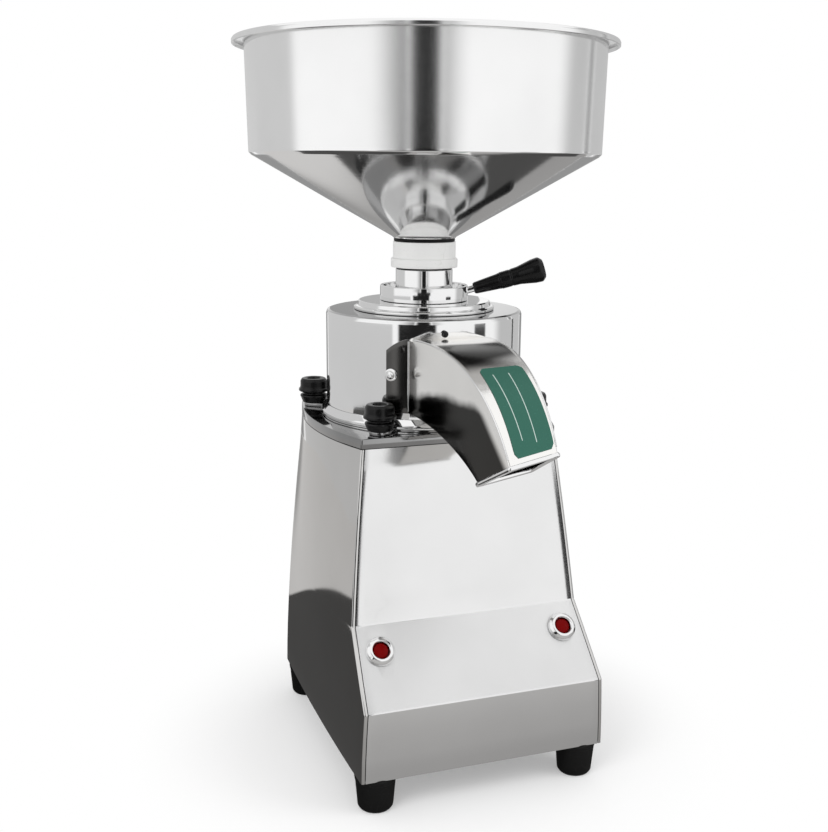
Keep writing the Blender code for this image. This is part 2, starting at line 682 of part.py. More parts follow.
def radial_matrix(x, height, radius):
    """A frame on the drum front at x and height whose +Z points straight out of it."""
    y = -math.sqrt(radius ** 2 - x ** 2)
    outward = Vector((x, y, 0)).normalized()
    return Matrix.Translation((x, y, height)) @ outward.to_track_quat("Z", "Y").to_matrix().to_4x4()


def make_drum():
    top, inner = DRUM_TOP, DRUM_RADIUS - DRUM_WALL
    foot = PLATE_TOP + DRUM_STANDS_OFF
    bore = TUBE_RADIUS + SEAT_GAP
    profile = [(bore, top)]
    profile += arc(DRUM_RADIUS - DRUM_EDGE, top - DRUM_EDGE, DRUM_EDGE, 90, 0, 4)
    profile += [(DRUM_RADIUS, foot), (inner, foot), (inner, top - DRUM_WALL), (bore, top - DRUM_WALL)]
    drum = turned("grinding_drum", profile, LARGE_COUNT)
    outlet_foot = CHUTE_FLOOR_Z + OUTLET_MARGIN
    outlet_top = CHUTE_TOP_Z - OUTLET_MARGIN
    outlet = box_mesh("outlet",
                      (CHUTE_ROOT_LEFT + OUTLET_MARGIN, -DRUM_RADIUS - OVERRUN, outlet_foot),
                      (CHUTE_ROOT_RIGHT - OUTLET_MARGIN, -DRUM_RADIUS / 2, outlet_top))
    combine(drum, as_cutter(outlet))
    bolts = (("side", SIDE_BOLT_X, side_bolt_height()), ("top", TOP_BOLT_X, top_bolt_height()))
    for name, x, height in bolts:
        hole = cylinder_mesh(f"drum_hole_{name}", BOLT_SHANK_RADIUS + SEAT_GAP, -DRUM_WALL - OVERRUN,
                             OVERRUN, SMALL_COUNT)
        combine(drum, as_cutter(hole, matrix=radial_matrix(x, height, DRUM_RADIUS)))
    place(drum, POLISHED, 0.08, 1)

    make_flange()

    sieve_foot = PLATE_TOP + SEAT_GAP
    sieve_top = top - DRUM_WALL - SEAT_GAP
    sieve = ring("sieve_ring", SIEVE_RADIUS, SIEVE_RADIUS - SIEVE_WALL, sieve_foot, sieve_top, LARGE_COUNT)
    slots = bmesh.new()
    for number in range(SIEVE_SLOT_COUNT):
        turn = Matrix.Rotation(math.tau * number / SIEVE_SLOT_COUNT, 4, "Z")
        length = sieve_top - sieve_foot - 2 * SIEVE_MARGIN
        size = Matrix.Diagonal((OVERRUN * 2, SIEVE_SLOT_WIDTH, length, 1))
        middle = Matrix.Translation((SIEVE_RADIUS, 0, (sieve_top + sieve_foot) / 2))
        bmesh.ops.create_cube(slots, size=1, matrix=turn @ middle @ size)
    combine(sieve, as_cutter(mesh_object("sieve_slots", slots)))
    place(sieve, STEEL, 0.35, 1)


def make_flange():
    """Skirted clamp ring round the drum foot, with an ear under each knob."""
    foot = PLATE_TOP + SEAT_GAP
    bore = DRUM_RADIUS + SEAT_GAP
    rim_foot = foot + FLANGE_NECK_HEIGHT
    profile = [(bore, foot + FLANGE_HEIGHT), (bore + FINE_EDGE, foot + FLANGE_HEIGHT),
               (FLANGE_RADIUS, rim_foot + FLANGE_RIM_HEIGHT), (FLANGE_RADIUS, rim_foot),
               (FLANGE_NECK_RADIUS, rim_foot), (FLANGE_NECK_RADIUS, foot), (bore, foot)]
    flange = turned("drum_flange", profile, LARGE_COUNT)
    tongue = [(DRUM_RADIUS, -EAR_RADIUS)] + arc(KNOB_CIRCLE_RADIUS, 0, EAR_RADIUS, -90, 90, EAR_COLUMNS)
    tongue.append((DRUM_RADIUS, EAR_RADIUS))
    for corner, angle in KNOB_ANGLES.items():
        ear = slab("ear_" + corner, tongue, foot, EAR_THICKNESS)
        x, y = round_place(KNOB_CIRCLE_RADIUS, angle)
        hole = cylinder_mesh("ear_hole_" + corner, STUD_RADIUS + STUD_CLEARANCE, foot - OVERRUN,
                             foot + EAR_THICKNESS + OVERRUN, SMALL_COUNT)
        combine(flange, as_cutter(ear, matrix=Matrix.Rotation(math.radians(angle), 4, "Z")), "UNION")
        combine(flange, as_cutter(hole, matrix=Matrix.Translation((x, y, 0))))
    bore_tool = cylinder_mesh("flange_bore", bore, foot - OVERRUN, foot + FLANGE_HEIGHT + OVERRUN,
                              LARGE_COUNT)
    combine(flange, as_cutter(bore_tool))
    place(flange, STEEL, 0.2, 1)


def make_boss():
    step = BOSS_FOOT + BOSS_LOWER_HEIGHT
    upper_radius = BOSS_RADIUS - BOSS_STEP
    profile = [(upper_radius - FINE_EDGE, BOSS_TOP), (upper_radius, BOSS_TOP - FINE_EDGE),
               (upper_radius, step),
               (BOSS_RADIUS - FINE_EDGE, step), (BOSS_RADIUS, step - FINE_EDGE), (BOSS_RADIUS, BOSS_FOOT),
               (TUBE_RADIUS + SEAT_GAP, BOSS_FOOT), (TUBE_RADIUS + SEAT_GAP, BOSS_TOP)]
    place(turned("lid_boss", profile, LARGE_COUNT), POLISHED, 0.1, 1)


def make_feed_tube():
    """Feed tube with the slot that its gate blade turns in, and the half seat below the blade."""
    inner = TUBE_RADIUS - TUBE_WALL
    under_lid = DRUM_TOP - DRUM_WALL - SEAT_GAP
    foot = under_lid - TUBE_FOOT_THICKNESS
    profile = [(TUBE_RADIUS, TUBE_TOP), (TUBE_RADIUS, under_lid), (TUBE_FOOT_RADIUS, under_lid),
               (TUBE_FOOT_RADIUS, foot), (inner, foot), (inner, TUBE_TOP)]
    tube = turned("feed_tube", profile, MIDDLE_COUNT)
    blade_foot = COLLAR_FOOT + COLLAR_FLOOR + SEAT_GAP
    slot_sweep = BLADE_SWEEP_ANGLE + GATE_TRAVEL_ANGLE + 2 * SLOT_MARGIN_ANGLE
    slot_middle = LEVER_ANGLE + GATE_TRAVEL_ANGLE / 2
    slot_shape = sector(TUBE_RADIUS + OVERRUN, slot_middle, slot_sweep, MIDDLE_COUNT)
    slot = slab("gate_slot", slot_shape, blade_foot - SEAT_GAP, BLADE_THICKNESS + 2 * SEAT_GAP)
    combine(tube, as_cutter(slot))
    place(tube, POLISHED, 0.1, 1)

    seat_top = blade_foot - 2 * SEAT_GAP
    seat = slab("gate_seat", sector(inner - SEAT_GAP, LEVER_ANGLE + 180, SEAT_SWEEP_ANGLE, SMALL_COUNT),
                seat_top - SEAT_THICKNESS, SEAT_THICKNESS)
    place(seat, STEEL, 0.3, 1)
    blade_radius = COLLAR_RADIUS - COLLAR_WALL - SEAT_GAP
    blade_shape = sector(blade_radius, LEVER_ANGLE, BLADE_SWEEP_ANGLE, MIDDLE_COUNT)
    place(slab("gate_blade", blade_shape, blade_foot, BLADE_THICKNESS), STEEL, 0.3, 1)


def lever_matrix():
    """Frame on the lever axis at the collar wall, +Z out along the lever."""
    around = Matrix.Rotation(math.radians(LEVER_ANGLE), 4, "Z")
    out = Matrix.Translation((COLLAR_RADIUS, 0, LEVER_HEIGHT))
    tilt = Matrix.Rotation(math.radians(90 - LEVER_RISE_ANGLE), 4, "Y")
    return around @ out @ tilt


def make_collar():
    floor = COLLAR_FOOT + COLLAR_FLOOR
    inner = COLLAR_RADIUS - COLLAR_WALL
    bore = TUBE_RADIUS + SEAT_GAP
    profile = [(COLLAR_RADIUS - FINE_EDGE, COLLAR_TOP), (COLLAR_RADIUS, COLLAR_TOP - FINE_EDGE),
               (COLLAR_RADIUS, COLLAR_FOOT), (bore, COLLAR_FOOT), (bore, floor), (inner, floor),
               (inner, COLLAR_TOP)]
    collar = turned("adjusting_collar", profile, MIDDLE_COUNT)
    hole = cylinder_mesh("lever_hole", LEVER_RADIUS + SEAT_GAP, -COLLAR_WALL - OVERRUN, OVERRUN,
                         SMALL_COUNT)
    combine(collar, as_cutter(hole, matrix=lever_matrix()))
    place(collar, POLISHED, 0.1, 1)

    stem = cylinder_mesh("lever_stem", LEVER_RADIUS, -COLLAR_WALL / 2, STEM_LENGTH, SMALL_COUNT)
    place(stem, POLISHED, 0.12, 1).matrix_local = lever_matrix()
    grip_end = STEM_FREE_LENGTH + GRIP_LENGTH
    radii = (GRIP_NECK_RADIUS, GRIP_WAIST_RADIUS, GRIP_RING_RADIUS, GRIP_RING_RADIUS,
             GRIP_RING_RADIUS, GRIP_FLARE_RADIUS, GRIP_END_RADIUS)
    outer = [(radius, STEM_FREE_LENGTH + GRIP_LENGTH * share) for share, radius in zip(GRIP_SHARES, radii)]
    cap = [(0, grip_end),
           (GRIP_END_RADIUS * GRIP_CAP_RADIUS_SHARE, grip_end - GRIP_LENGTH * GRIP_CAP_DROP_SHARE)]
    grip_bore = LEVER_RADIUS + SEAT_GAP
    bore_top = STEM_LENGTH + SEAT_GAP
    bore_profile = [(grip_bore, STEM_FREE_LENGTH), (grip_bore, bore_top), (0, bore_top)]
    grip = turned("lever_grip", cap + outer[::-1] + bore_profile, SMALL_COUNT)
    place(grip, BLACK, 0.4, 0).matrix_local = lever_matrix()


def make_coupler():
    """Nylon coupler between its gaskets, and the height that the hopper stands on."""
    foot = TUBE_TOP + SEAT_GAP
    inner = TUBE_RADIUS - TUBE_WALL
    gasket = ring("tube_gasket", GASKET_RADIUS, inner, foot, foot + GASKET_THICKNESS, MIDDLE_COUNT)
    place(gasket, BLACK, 0.7, 0)
    low = foot + GASKET_THICKNESS + SEAT_GAP
    top = low + COUPLER_HEIGHT
    bead_middle = low + BEAD_HEIGHT / 2
    bulge = BEAD_HEIGHT / 2
    profile = [(COUPLER_RADIUS - FINE_EDGE, top), (COUPLER_RADIUS, top - FINE_EDGE),
               (COUPLER_RADIUS, low + BEAD_HEIGHT)]
    profile += arc(BEAD_RADIUS - bulge, bead_middle, bulge, BEAD_END_ANGLE, -BEAD_END_ANGLE, 5)
    profile += [(COUPLER_BORE, low), (COUPLER_BORE, top)]
    place(turned("nylon_coupler", profile, MIDDLE_COUNT), NYLON, 0.35, 0)
    foot = top + SEAT_GAP
    gasket_top = foot + UPPER_GASKET_THICKNESS
    gasket = ring("hopper_gasket", UPPER_GASKET_RADIUS, COUPLER_BORE, foot, gasket_top, MIDDLE_COUNT)
    place(gasket, BLACK, 0.7, 0)
    return gasket_top + SEAT_GAP


def make_hopper(foot):
    """Spun hopper: its inner face from the spigot up the cone and wall and over the rim."""
    wall = HOPPER_WALL
    inner_foot = foot + wall
    profile = [(SPIGOT_RADIUS - wall, foot - SPIGOT_DEPTH), (SPIGOT_RADIUS - wall, inner_foot),
               (CONE_FOOT_RADIUS - wall, inner_foot + FINE_EDGE)]
    cylinder_foot = foot + CONE_HEIGHT
    top = cylinder_foot + CYLINDER_HEIGHT
    foot_radius = HOPPER_RADIUS - HOPPER_TAPER - wall
    profile += [(foot_radius - CONE_BEND, cylinder_foot - CONE_BEND / 2),
                (foot_radius, cylinder_foot + CONE_BEND)]
    profile += [(HOPPER_RADIUS - wall, top - HOPPER_RIM_EDGE),
                (HOPPER_RADIUS - wall + HOPPER_RIM_EDGE / 2, top)]
    profile += arc(HOPPER_RIM_RADIUS - HOPPER_RIM_EDGE, top - HOPPER_RIM_EDGE, HOPPER_RIM_EDGE, 90, 0, 3)
    profile.append((HOPPER_RIM_RADIUS, top - HOPPER_LIP))
    bm = bmesh.new()
    points = [bm.verts.new((radius, 0, height)) for radius, height in profile]
    for first, second in zip(points, points[1:]):
        bm.edges.new((first, second))
    hopper = mesh_object("hopper", bm)
    screw = hopper.modifiers.new("turn", "SCREW")
    screw.steps = LARGE_COUNT
    screw.render_steps = LARGE_COUNT
    screw.use_smooth_shade = True
    solidify(hopper, wall)
    place(hopper, STEEL, 0.2, 1)


def curve_point(points, share):
    """Point on a cubic curve through side-view points, given as y and height."""
    rest = 1 - share
    weights = (rest ** 3, 3 * rest ** 2 * share, 3 * rest * share ** 2, share ** 3)
    return Vector([sum(weight * point[axis] for weight, point in zip(weights, points)) for axis in (0, 1)])


def chute_side(y, root, mouth):
    """Where a side wall stands at y, on its straight line from the drum to the mouth."""
    return blend(root, mouth, (y - CHUTE_ROOT_Y) / (CHUTE_MOUTH_Y - CHUTE_ROOT_Y))


def chute_section(outer, floor, turn_share, widen=0.0):
    """Four corners of the duct between its outer and floor curves, its right side turned back and up."""
    across = (outer - floor).normalized() * widen
    corners = []
    for point in (outer + across, floor - across):
        left = chute_side(point[0], CHUTE_ROOT_LEFT, CHUTE_MOUTH_LEFT) - widen
        right = chute_side(point[0], CHUTE_ROOT_RIGHT, CHUTE_MOUTH_RIGHT) + widen
        y = point[0] + CHUTE_TURN_BACK * turn_share
        corners.append([(left, *point), (right, y, point[1] + CHUTE_TURN_UP * turn_share)])
    return [corners[0][0], corners[0][1], corners[1][1], corners[1][0]]


def side_bolt_height():
    return CHUTE_TOP_Z - SIDE_BOLT_DROP


def top_bolt_height():
    return CHUTE_TOP_Z + TOP_FLANGE_HEIGHT / 2 + BOLT_SHANK_RADIUS


def top_flange_height(share):
    """Upper edge of the flange over the chute, low at its ends."""
    return CHUTE_TOP_Z + blend(TOP_FLANGE_HEIGHT, TOP_FLANGE_END_HEIGHT, (2 * share - 1) ** 2)


def drum_strip(name, first_x, last_x, columns, low, high_of):
    """A thin sheet lying on the drum between two x places, as a tool to join to the chute."""
    radius = DRUM_RADIUS + SEAT_GAP
    start, end = math.asin(first_x / radius), math.asin(last_x / radius)
    rows = [[], []]
    for column in range(columns + 1):
        share = column / columns
        angle = blend(start, end, share)
        x, y = math.sin(angle), -math.cos(angle)
        outer = radius + SHEET
        rows[0].append((outer * x, outer * y, high_of(share)))
        rows[1].append((outer * x, outer * y, low))
    strip = sheet_from_rows(name, rows)
    solidify(strip, SHEET)
    return strip


def make_chute():
    """Folded discharge chute, its side tab, its top flange round the drum and its hemmed mouth."""
    outer_curve = [(CHUTE_ROOT_Y, CHUTE_TOP_Z),
                   (CHUTE_ROOT_Y - CHUTE_CREST_REACH, CHUTE_TOP_Z + CHUTE_CREST_RISE),
                   (CHUTE_ROOT_Y - CHUTE_SHOULDER_REACH, CHUTE_TOP_Z - CHUTE_SHOULDER_DROP),
                   (CHUTE_MOUTH_Y, CHUTE_TOP_Z - CHUTE_MOUTH_DROP)]
    floor_curve = [(CHUTE_ROOT_Y, CHUTE_FLOOR_Z),
                   (CHUTE_ROOT_Y - CHUTE_BELLY_REACH, CHUTE_FLOOR_Z + CHUTE_BELLY_RISE),
                   (CHUTE_ROOT_Y - CHUTE_HEEL_REACH, CHUTE_FLOOR_Z - CHUTE_HEEL_DROP),
                   (CHUTE_ROOT_Y - CHUTE_MOUTH_FLOOR_REACH, CHUTE_FLOOR_Z - CHUTE_MOUTH_FLOOR_DROP)]
    inside = Vector((CHUTE_INTO_DRUM, 0))
    sections = [chute_section(Vector(outer_curve[0]) + inside, Vector(floor_curve[0]) + inside, 0)]
    for station in range(CHUTE_STATIONS + 1):
        share = station / CHUTE_STATIONS
        outer, floor = curve_point(outer_curve, share), curve_point(floor_curve, share)
        sections.append(chute_section(outer, floor, share ** 2))
    along = (outer - floor).normalized()
    onward = Vector((along[1], -along[0])) * CHUTE_HEM_LENGTH
    if onward[1] > 0:
        onward = -onward
    sections.append(chute_section(outer, floor, 1, CHUTE_HEM))
    sections.append(chute_section(outer + onward, floor + onward, 1, CHUTE_HEM))

    bm = bmesh.new()
    rows = [[bm.verts.new(corner) for corner in section] for section in sections]
    for near, far in zip(rows, rows[1:]):
        for corner in range(4):
            after = (corner + 1) % 4
            bm.faces.new((near[corner], far[corner], far[after], near[after]))
    chute = mesh_object("discharge_chute", bm)
    solidify(chute, SHEET)

    tab_end = CHUTE_ROOT_LEFT - TAB_WIDTH
    tab = drum_strip("side_tab", tab_end, CHUTE_ROOT_LEFT + SHEET / 2, TAB_COLUMNS, CHUTE_FLOOR_Z,
                     lambda share: CHUTE_TOP_Z - TAB_DROP * (1 - share) ** 2)
    combine(chute, as_cutter(tab), "UNION")
    flange = drum_strip("top_flange", CHUTE_ROOT_LEFT + SHEET, CHUTE_ROOT_RIGHT, TOP_FLANGE_COLUMNS,
                        CHUTE_TOP_Z - SHEET / 2, top_flange_height)
    combine(chute, as_cutter(flange), "UNION")
    drum_space = cylinder_mesh("drum_space", DRUM_RADIUS + SEAT_GAP, PLATE_TOP, DRUM_TOP + OVERRUN,
                               LARGE_COUNT)
    combine(chute, as_cutter(drum_space))
    holes = (("side", SIDE_BOLT_X, side_bolt_height()), ("top", TOP_BOLT_X, top_bolt_height()))
    for name, x, height in holes:
        hole = cylinder_mesh(f"chute_hole_{name}", BOLT_SHANK_RADIUS + SEAT_GAP, -OVERRUN, SHEET + OVERRUN,
                             SMALL_COUNT)
        combine(chute, as_cutter(hole, matrix=radial_matrix(x, height, DRUM_RADIUS + SEAT_GAP)))
    place(chute, STEEL, 0.16, 1)

    seat = SHEET + 2 * SEAT_GAP
    for name, head, washer, x, height, colour, metal in (
            ("chute_side_bolt", BOLT_HEAD_RADIUS, BOLT_WASHER_RADIUS, SIDE_BOLT_X, side_bolt_height(),
             POLISHED, 1),
            ("chute_top_bolt", TOP_BOLT_HEAD_RADIUS, TOP_BOLT_HEAD_RADIUS + FINE_EDGE, TOP_BOLT_X,
             top_bolt_height(), BLACK, 0)):
        profile = [(0, seat + BOLT_WASHER_THICKNESS + BOLT_HEAD_HEIGHT)]
        profile += [(head * math.sin(turn),
                     seat + BOLT_WASHER_THICKNESS + BOLT_HEAD_HEIGHT * math.cos(turn))
                    for turn in (math.pi / 6, math.pi / 3, math.pi / 2)]
        profile += [(washer, seat + BOLT_WASHER_THICKNESS), (washer, seat), (BOLT_SHANK_RADIUS, seat),
                    (BOLT_SHANK_RADIUS, seat - BOLT_SHANK_LENGTH), (0, seat - BOLT_SHANK_LENGTH)]
        bolt = place(turned(name, profile, SMALL_COUNT), colour, 0.2, metal)
        bolt.matrix_local = radial_matrix(x, height, DRUM_RADIUS)


def button_matrix(x):
    """Frame on the sloping facet, +Z straight out of it."""
    down = Vector((0, LOWER_CREASE_Y - UPPER_CREASE_Y, LOWER_CREASE_Z - UPPER_CREASE_Z))
    centre = Vector((x, UPPER_CREASE_Y, UPPER_CREASE_Z)) + down * BUTTON_SLOPE_SHARE
    outward = Vector((0, down[2], -down[1])).normalized()
    return Matrix.Translation(centre) @ outward.to_track_quat("Z", "Y").to_matrix().to_4x4()


def make_buttons(panel):
    for side, x in (("left", -BUTTON_X), ("right", BUTTON_X)):
        frame = button_matrix(x)
        hole = cylinder_mesh("button_hole_" + side, SWITCH_RADIUS + SEAT_GAP, -OVERRUN, OVERRUN,
                             MIDDLE_COUNT)
        combine(panel, as_cutter(hole, matrix=frame))
        top = SEAT_GAP + BEZEL_HEIGHT
        profile = [(BEZEL_BORE, top - FINE_EDGE), (BEZEL_BORE + BEZEL_LAND, top)]
        profile += [(blend(BEZEL_BORE + BEZEL_LAND, BEZEL_RADIUS, math.sin(turn)),
                     SEAT_GAP + FINE_EDGE + (BEZEL_HEIGHT - FINE_EDGE) * math.cos(turn))
                    for turn in (math.pi / 6, math.pi / 3, math.pi / 2)]
        profile += [(BEZEL_RADIUS, SEAT_GAP), (BEZEL_BORE, SEAT_GAP)]
        place(turned("button_bezel_" + side, profile, MIDDLE_COUNT), POLISHED, 0.1, 1).matrix_local = frame

        face = top - LENS_RECESS
        profile = [(0, face), (LENS_RADIUS / 2, face - LENS_CROWN / 4), (LENS_RADIUS, face - LENS_CROWN),
                   (LENS_RADIUS, -LENS_DEPTH), (0, -LENS_DEPTH)]
        place(turned("button_lens_" + side, profile, SMALL_COUNT), RUBY, 0.2, 0).matrix_local = frame

        profile = [(0, -SWITCH_WELL), (BEZEL_BORE, -SWITCH_WELL), (BEZEL_BORE, 0), (SWITCH_RADIUS, 0),
                   (SWITCH_RADIUS, -SWITCH_LENGTH), (0, -SWITCH_LENGTH)]
        place(turned("switch_body_" + side, profile, SMALL_COUNT), BLACK, 0.5, 0).matrix_local = frame

        nut_top = -SHEET - SEAT_GAP
        nut = hex_nut("switch_nut_" + side, SWITCH_NUT_RADIUS, SWITCH_RADIUS + SEAT_GAP,
                      nut_top - SWITCH_NUT_THICKNESS, nut_top, frame)
        place(nut, STEEL, 0.3, 1).matrix_local = frame


def make_motor():
    flange_foot = STAND_TOP - BELL_FLANGE_THICKNESS
    spigot = MOTOR_RADIUS - MOTOR_WALL - SEAT_GAP
    profile = [(BELL_FLANGE_RADIUS, STAND_TOP), (BELL_FLANGE_RADIUS, flange_foot), (spigot, flange_foot),
               (spigot, flange_foot - BELL_SPIGOT_DEPTH), (BELL_BORE, flange_foot - BELL_SPIGOT_DEPTH),
               (BELL_BORE, STAND_TOP)]
    bell = turned("motor_end_bell", profile, MIDDLE_COUNT)
    for number in range(len(MOTOR_BOLT_ANGLES)):
        combine(bell, bpy.data.objects[f"motor_hole_{number + 1}"])
    place(bell, GREY_CAST, 0.5, 1)
    housing_top = flange_foot - SEAT_GAP
    housing = ring("motor_housing", MOTOR_RADIUS, MOTOR_RADIUS - MOTOR_WALL, MOTOR_BOTTOM, housing_top,
                   MIDDLE_COUNT)
    place(housing, GREY_CAST, 0.5, 1)
    tail_top = MOTOR_BOTTOM - SEAT_GAP
    tail_foot = tail_top - TAIL_THICKNESS
    place(ring("motor_tail_bell", MOTOR_RADIUS, BELL_BORE, tail_foot, tail_top, MIDDLE_COUNT, FINE_EDGE),
          GREY_CAST, 0.5, 1)
    stator = ring("stator_core", spigot, STATOR_BORE, STATOR_BOTTOM, STATOR_TOP, MIDDLE_COUNT)
    place(stator, COPPER_BROWN, 0.5, 0.6)
    place(ring("rotor_core", CORE_RADIUS, SHAFT_RADIUS + SEAT_GAP, STATOR_BOTTOM, STATOR_TOP, MIDDLE_COUNT),
          STEEL, 0.4, 1)
    bearing = (BELL_BORE - SEAT_GAP, SHAFT_RADIUS + SEAT_GAP)
    upper_foot = flange_foot - BELL_SPIGOT_DEPTH / 2
    lower_foot = (tail_top + tail_foot - BEARING_WIDTH) / 2
    for name, foot in (("upper_bearing", upper_foot), ("lower_bearing", lower_foot)):
        place(ring(name, *bearing, foot, foot + BEARING_WIDTH, MIDDLE_COUNT, FINE_EDGE), POLISHED, 0.2, 1)
    place(cylinder_mesh("motor_shaft", SHAFT_RADIUS, SHAFT_BOTTOM, SHAFT_TOP, MIDDLE_COUNT), STEEL, 0.25, 1)
    place(ring("shaft_seal", PLATE_BORE - SEAT_GAP, SHAFT_RADIUS + SEAT_GAP, PLATE_BOTTOM + SEAT_GAP,
               PLATE_TOP + SEAL_LIP, MIDDLE_COUNT, FINE_EDGE), BLACK, 0.7, 0)

    fan_bore = SHAFT_RADIUS + SEAT_GAP
    fan = ring("cooling_fan", FAN_RADIUS, fan_bore, FAN_BOTTOM, FAN_BOTTOM + FAN_DISC, MIDDLE_COUNT)
    blades = bmesh.new()
    length = FAN_RADIUS - FAN_HUB_RADIUS
    for number in range(FAN_BLADES):
        turn = Matrix.Rotation(math.tau * number / FAN_BLADES, 4, "Z")
        middle = Matrix.Translation((FAN_HUB_RADIUS + length / 2 - FINE_EDGE, 0,
                                     FAN_BOTTOM + FAN_HEIGHT / 2 + FINE_EDGE))
        size = Matrix.Diagonal((length, FAN_BLADE_WIDTH, FAN_HEIGHT - FINE_EDGE, 1))
        bmesh.ops.create_cube(blades, size=1, matrix=turn @ middle @ size)
    hub = ring("fan_hub", FAN_HUB_RADIUS, fan_bore, FAN_BOTTOM, FAN_BOTTOM + FAN_HEIGHT, MIDDLE_COUNT)
    combine(fan, as_cutter(mesh_object("fan_blades", blades)), "UNION")
    combine(fan, as_cutter(hub), "UNION")
    place(fan, BLACK, 0.5, 0)

    head_foot = PLATE_TOP + SEAT_GAP
    head_top = head_foot + MOTOR_BOLT_HEAD
    profile = [(0, head_top), (MOTOR_BOLT_HEAD_RADIUS, head_top), (MOTOR_BOLT_HEAD_RADIUS, head_foot),
               (MOTOR_BOLT_RADIUS, head_foot), (MOTOR_BOLT_RADIUS, PLATE_TOP - MOTOR_BOLT_GRIP),
               (0, PLATE_TOP - MOTOR_BOLT_GRIP)]
    for number, angle in enumerate(MOTOR_BOLT_ANGLES, 1):
        x, y = round_place(MOTOR_BOLT_CIRCLE, angle)
        place(turned(f"motor_bolt_{number}", profile, SMALL_COUNT), STEEL, 0.3, 1, location=(x, y, 0))

    foot = STAND_BOTTOM + BASE_THICKNESS + SEAT_GAP
    place(cylinder_mesh("run_capacitor", CAPACITOR_RADIUS, foot, foot + CAPACITOR_HEIGHT, MIDDLE_COUNT),
          STEEL, 0.4, 0.5, location=(CAPACITOR_X, CAPACITOR_Y, 0))


def make_rotor():
    """Hammer rotor on the shaft: hub, disc and the upright hammers near its rim."""
    foot = PLATE_TOP + ROTOR_CLEARANCE
    hub_top = foot + ROTOR_HUB_HEIGHT
    bore = SHAFT_RADIUS + SEAT_GAP
    disc_top = foot + ROTOR_DISC
    profile = [(ROTOR_HUB_RADIUS, hub_top), (ROTOR_HUB_RADIUS, disc_top), (ROTOR_RADIUS, disc_top),
               (ROTOR_RADIUS, foot), (bore, foot), (bore, hub_top)]
    rotor = turned("hammer_rotor", profile, MIDDLE_COUNT)
    hammers = bmesh.new()
    for number in range(HAMMER_COUNT):
        turn = Matrix.Rotation(math.tau * number / HAMMER_COUNT, 4, "Z")
        middle = Matrix.Translation((ROTOR_RADIUS - HAMMER_LENGTH / 2 - FINE_EDGE, 0,
                                     disc_top + HAMMER_HEIGHT / 2 - FINE_EDGE))
        size = Matrix.Diagonal((HAMMER_LENGTH, HAMMER_WIDTH, HAMMER_HEIGHT, 1))
        bmesh.ops.create_cube(hammers, size=1, matrix=turn @ middle @ size)
    combine(rotor, as_cutter(mesh_object("hammers", hammers)), "UNION")
    place(rotor, STEEL, 0.35, 1)

    nut_foot = hub_top + SEAT_GAP
    nut = hex_nut("rotor_nut", ROTOR_NUT_RADIUS, bore, nut_foot, nut_foot + ROTOR_NUT_HEIGHT, Matrix())
    place(nut, STEEL, 0.3, 1)


def make_gland():
    """Cord inlet in the rear wall: a flanged bush with a tapering nose."""
    profile = [(GLAND_NOSE_RADIUS, GLAND_LENGTH), (GLAND_FLANGE_RADIUS - FINE_EDGE, GLAND_FLANGE),
               (GLAND_FLANGE_RADIUS, GLAND_FLANGE - FINE_EDGE), (GLAND_FLANGE_RADIUS, SEAT_GAP),
               (GLAND_BARREL_RADIUS, SEAT_GAP), (GLAND_BARREL_RADIUS, -GLAND_INSIDE),
               (GLAND_BORE, -GLAND_INSIDE), (GLAND_BORE, GLAND_LENGTH)]
    place(turned("cord_gland", profile, SMALL_COUNT), BLACK, 0.6, 0).matrix_local = gland_place()


front = make_stand()
make_plates()
make_feet()
make_knobs()
make_drum()
make_boss()
make_feed_tube()
make_collar()
make_hopper(make_coupler())
make_chute()
make_buttons(front)
make_motor()
make_rotor()
make_gland()
bpy.context.view_layer.update()
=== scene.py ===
"""Looks of the table-top flour mill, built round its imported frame.

Metres, +Z up, the front of the mill towards -Y. The upright mill axis stands at AXIS_Y.
Shapes are lists of radius, height and the bend of the corner there, in millimetres.
"""
import math

import bpy
from mathutils import Matrix, Vector


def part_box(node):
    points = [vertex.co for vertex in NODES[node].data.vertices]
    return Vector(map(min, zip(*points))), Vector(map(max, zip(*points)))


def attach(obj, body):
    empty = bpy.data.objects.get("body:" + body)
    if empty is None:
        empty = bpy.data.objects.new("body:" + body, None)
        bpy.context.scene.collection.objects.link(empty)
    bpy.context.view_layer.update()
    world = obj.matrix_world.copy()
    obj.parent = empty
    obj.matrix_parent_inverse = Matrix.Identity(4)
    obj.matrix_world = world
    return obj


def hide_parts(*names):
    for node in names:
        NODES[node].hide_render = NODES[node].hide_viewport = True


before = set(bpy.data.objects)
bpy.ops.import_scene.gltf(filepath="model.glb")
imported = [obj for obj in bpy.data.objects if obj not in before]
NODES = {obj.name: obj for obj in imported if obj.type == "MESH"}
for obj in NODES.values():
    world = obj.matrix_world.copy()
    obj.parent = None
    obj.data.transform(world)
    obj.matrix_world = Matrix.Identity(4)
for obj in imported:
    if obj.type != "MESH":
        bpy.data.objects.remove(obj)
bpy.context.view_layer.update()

MM = 0.001


def low(node):
    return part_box(node)[0].z


def high(node):
    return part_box(node)[1].z


def tall(node):
    """The height of a node, in millimetres."""
    return (high(node) - low(node)) / MM


def blend_value(first, second, share):
    return first + (second - first) * share


def shares(count):
    """Evenly spaced shares from 0 to 1."""
    return [step / count for step in range(count + 1)]


def middle(node):
    return [(first + last) / 2 for first, last in zip(*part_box(node))]


AXIS_Y = middle("grinding_drum")[1]
MILL_AXIS = (0.0, AXIS_Y)
ORIGIN = (0.0, 0.0)
CORNERS = ("front_left", "front_right", "rear_left", "rear_right")

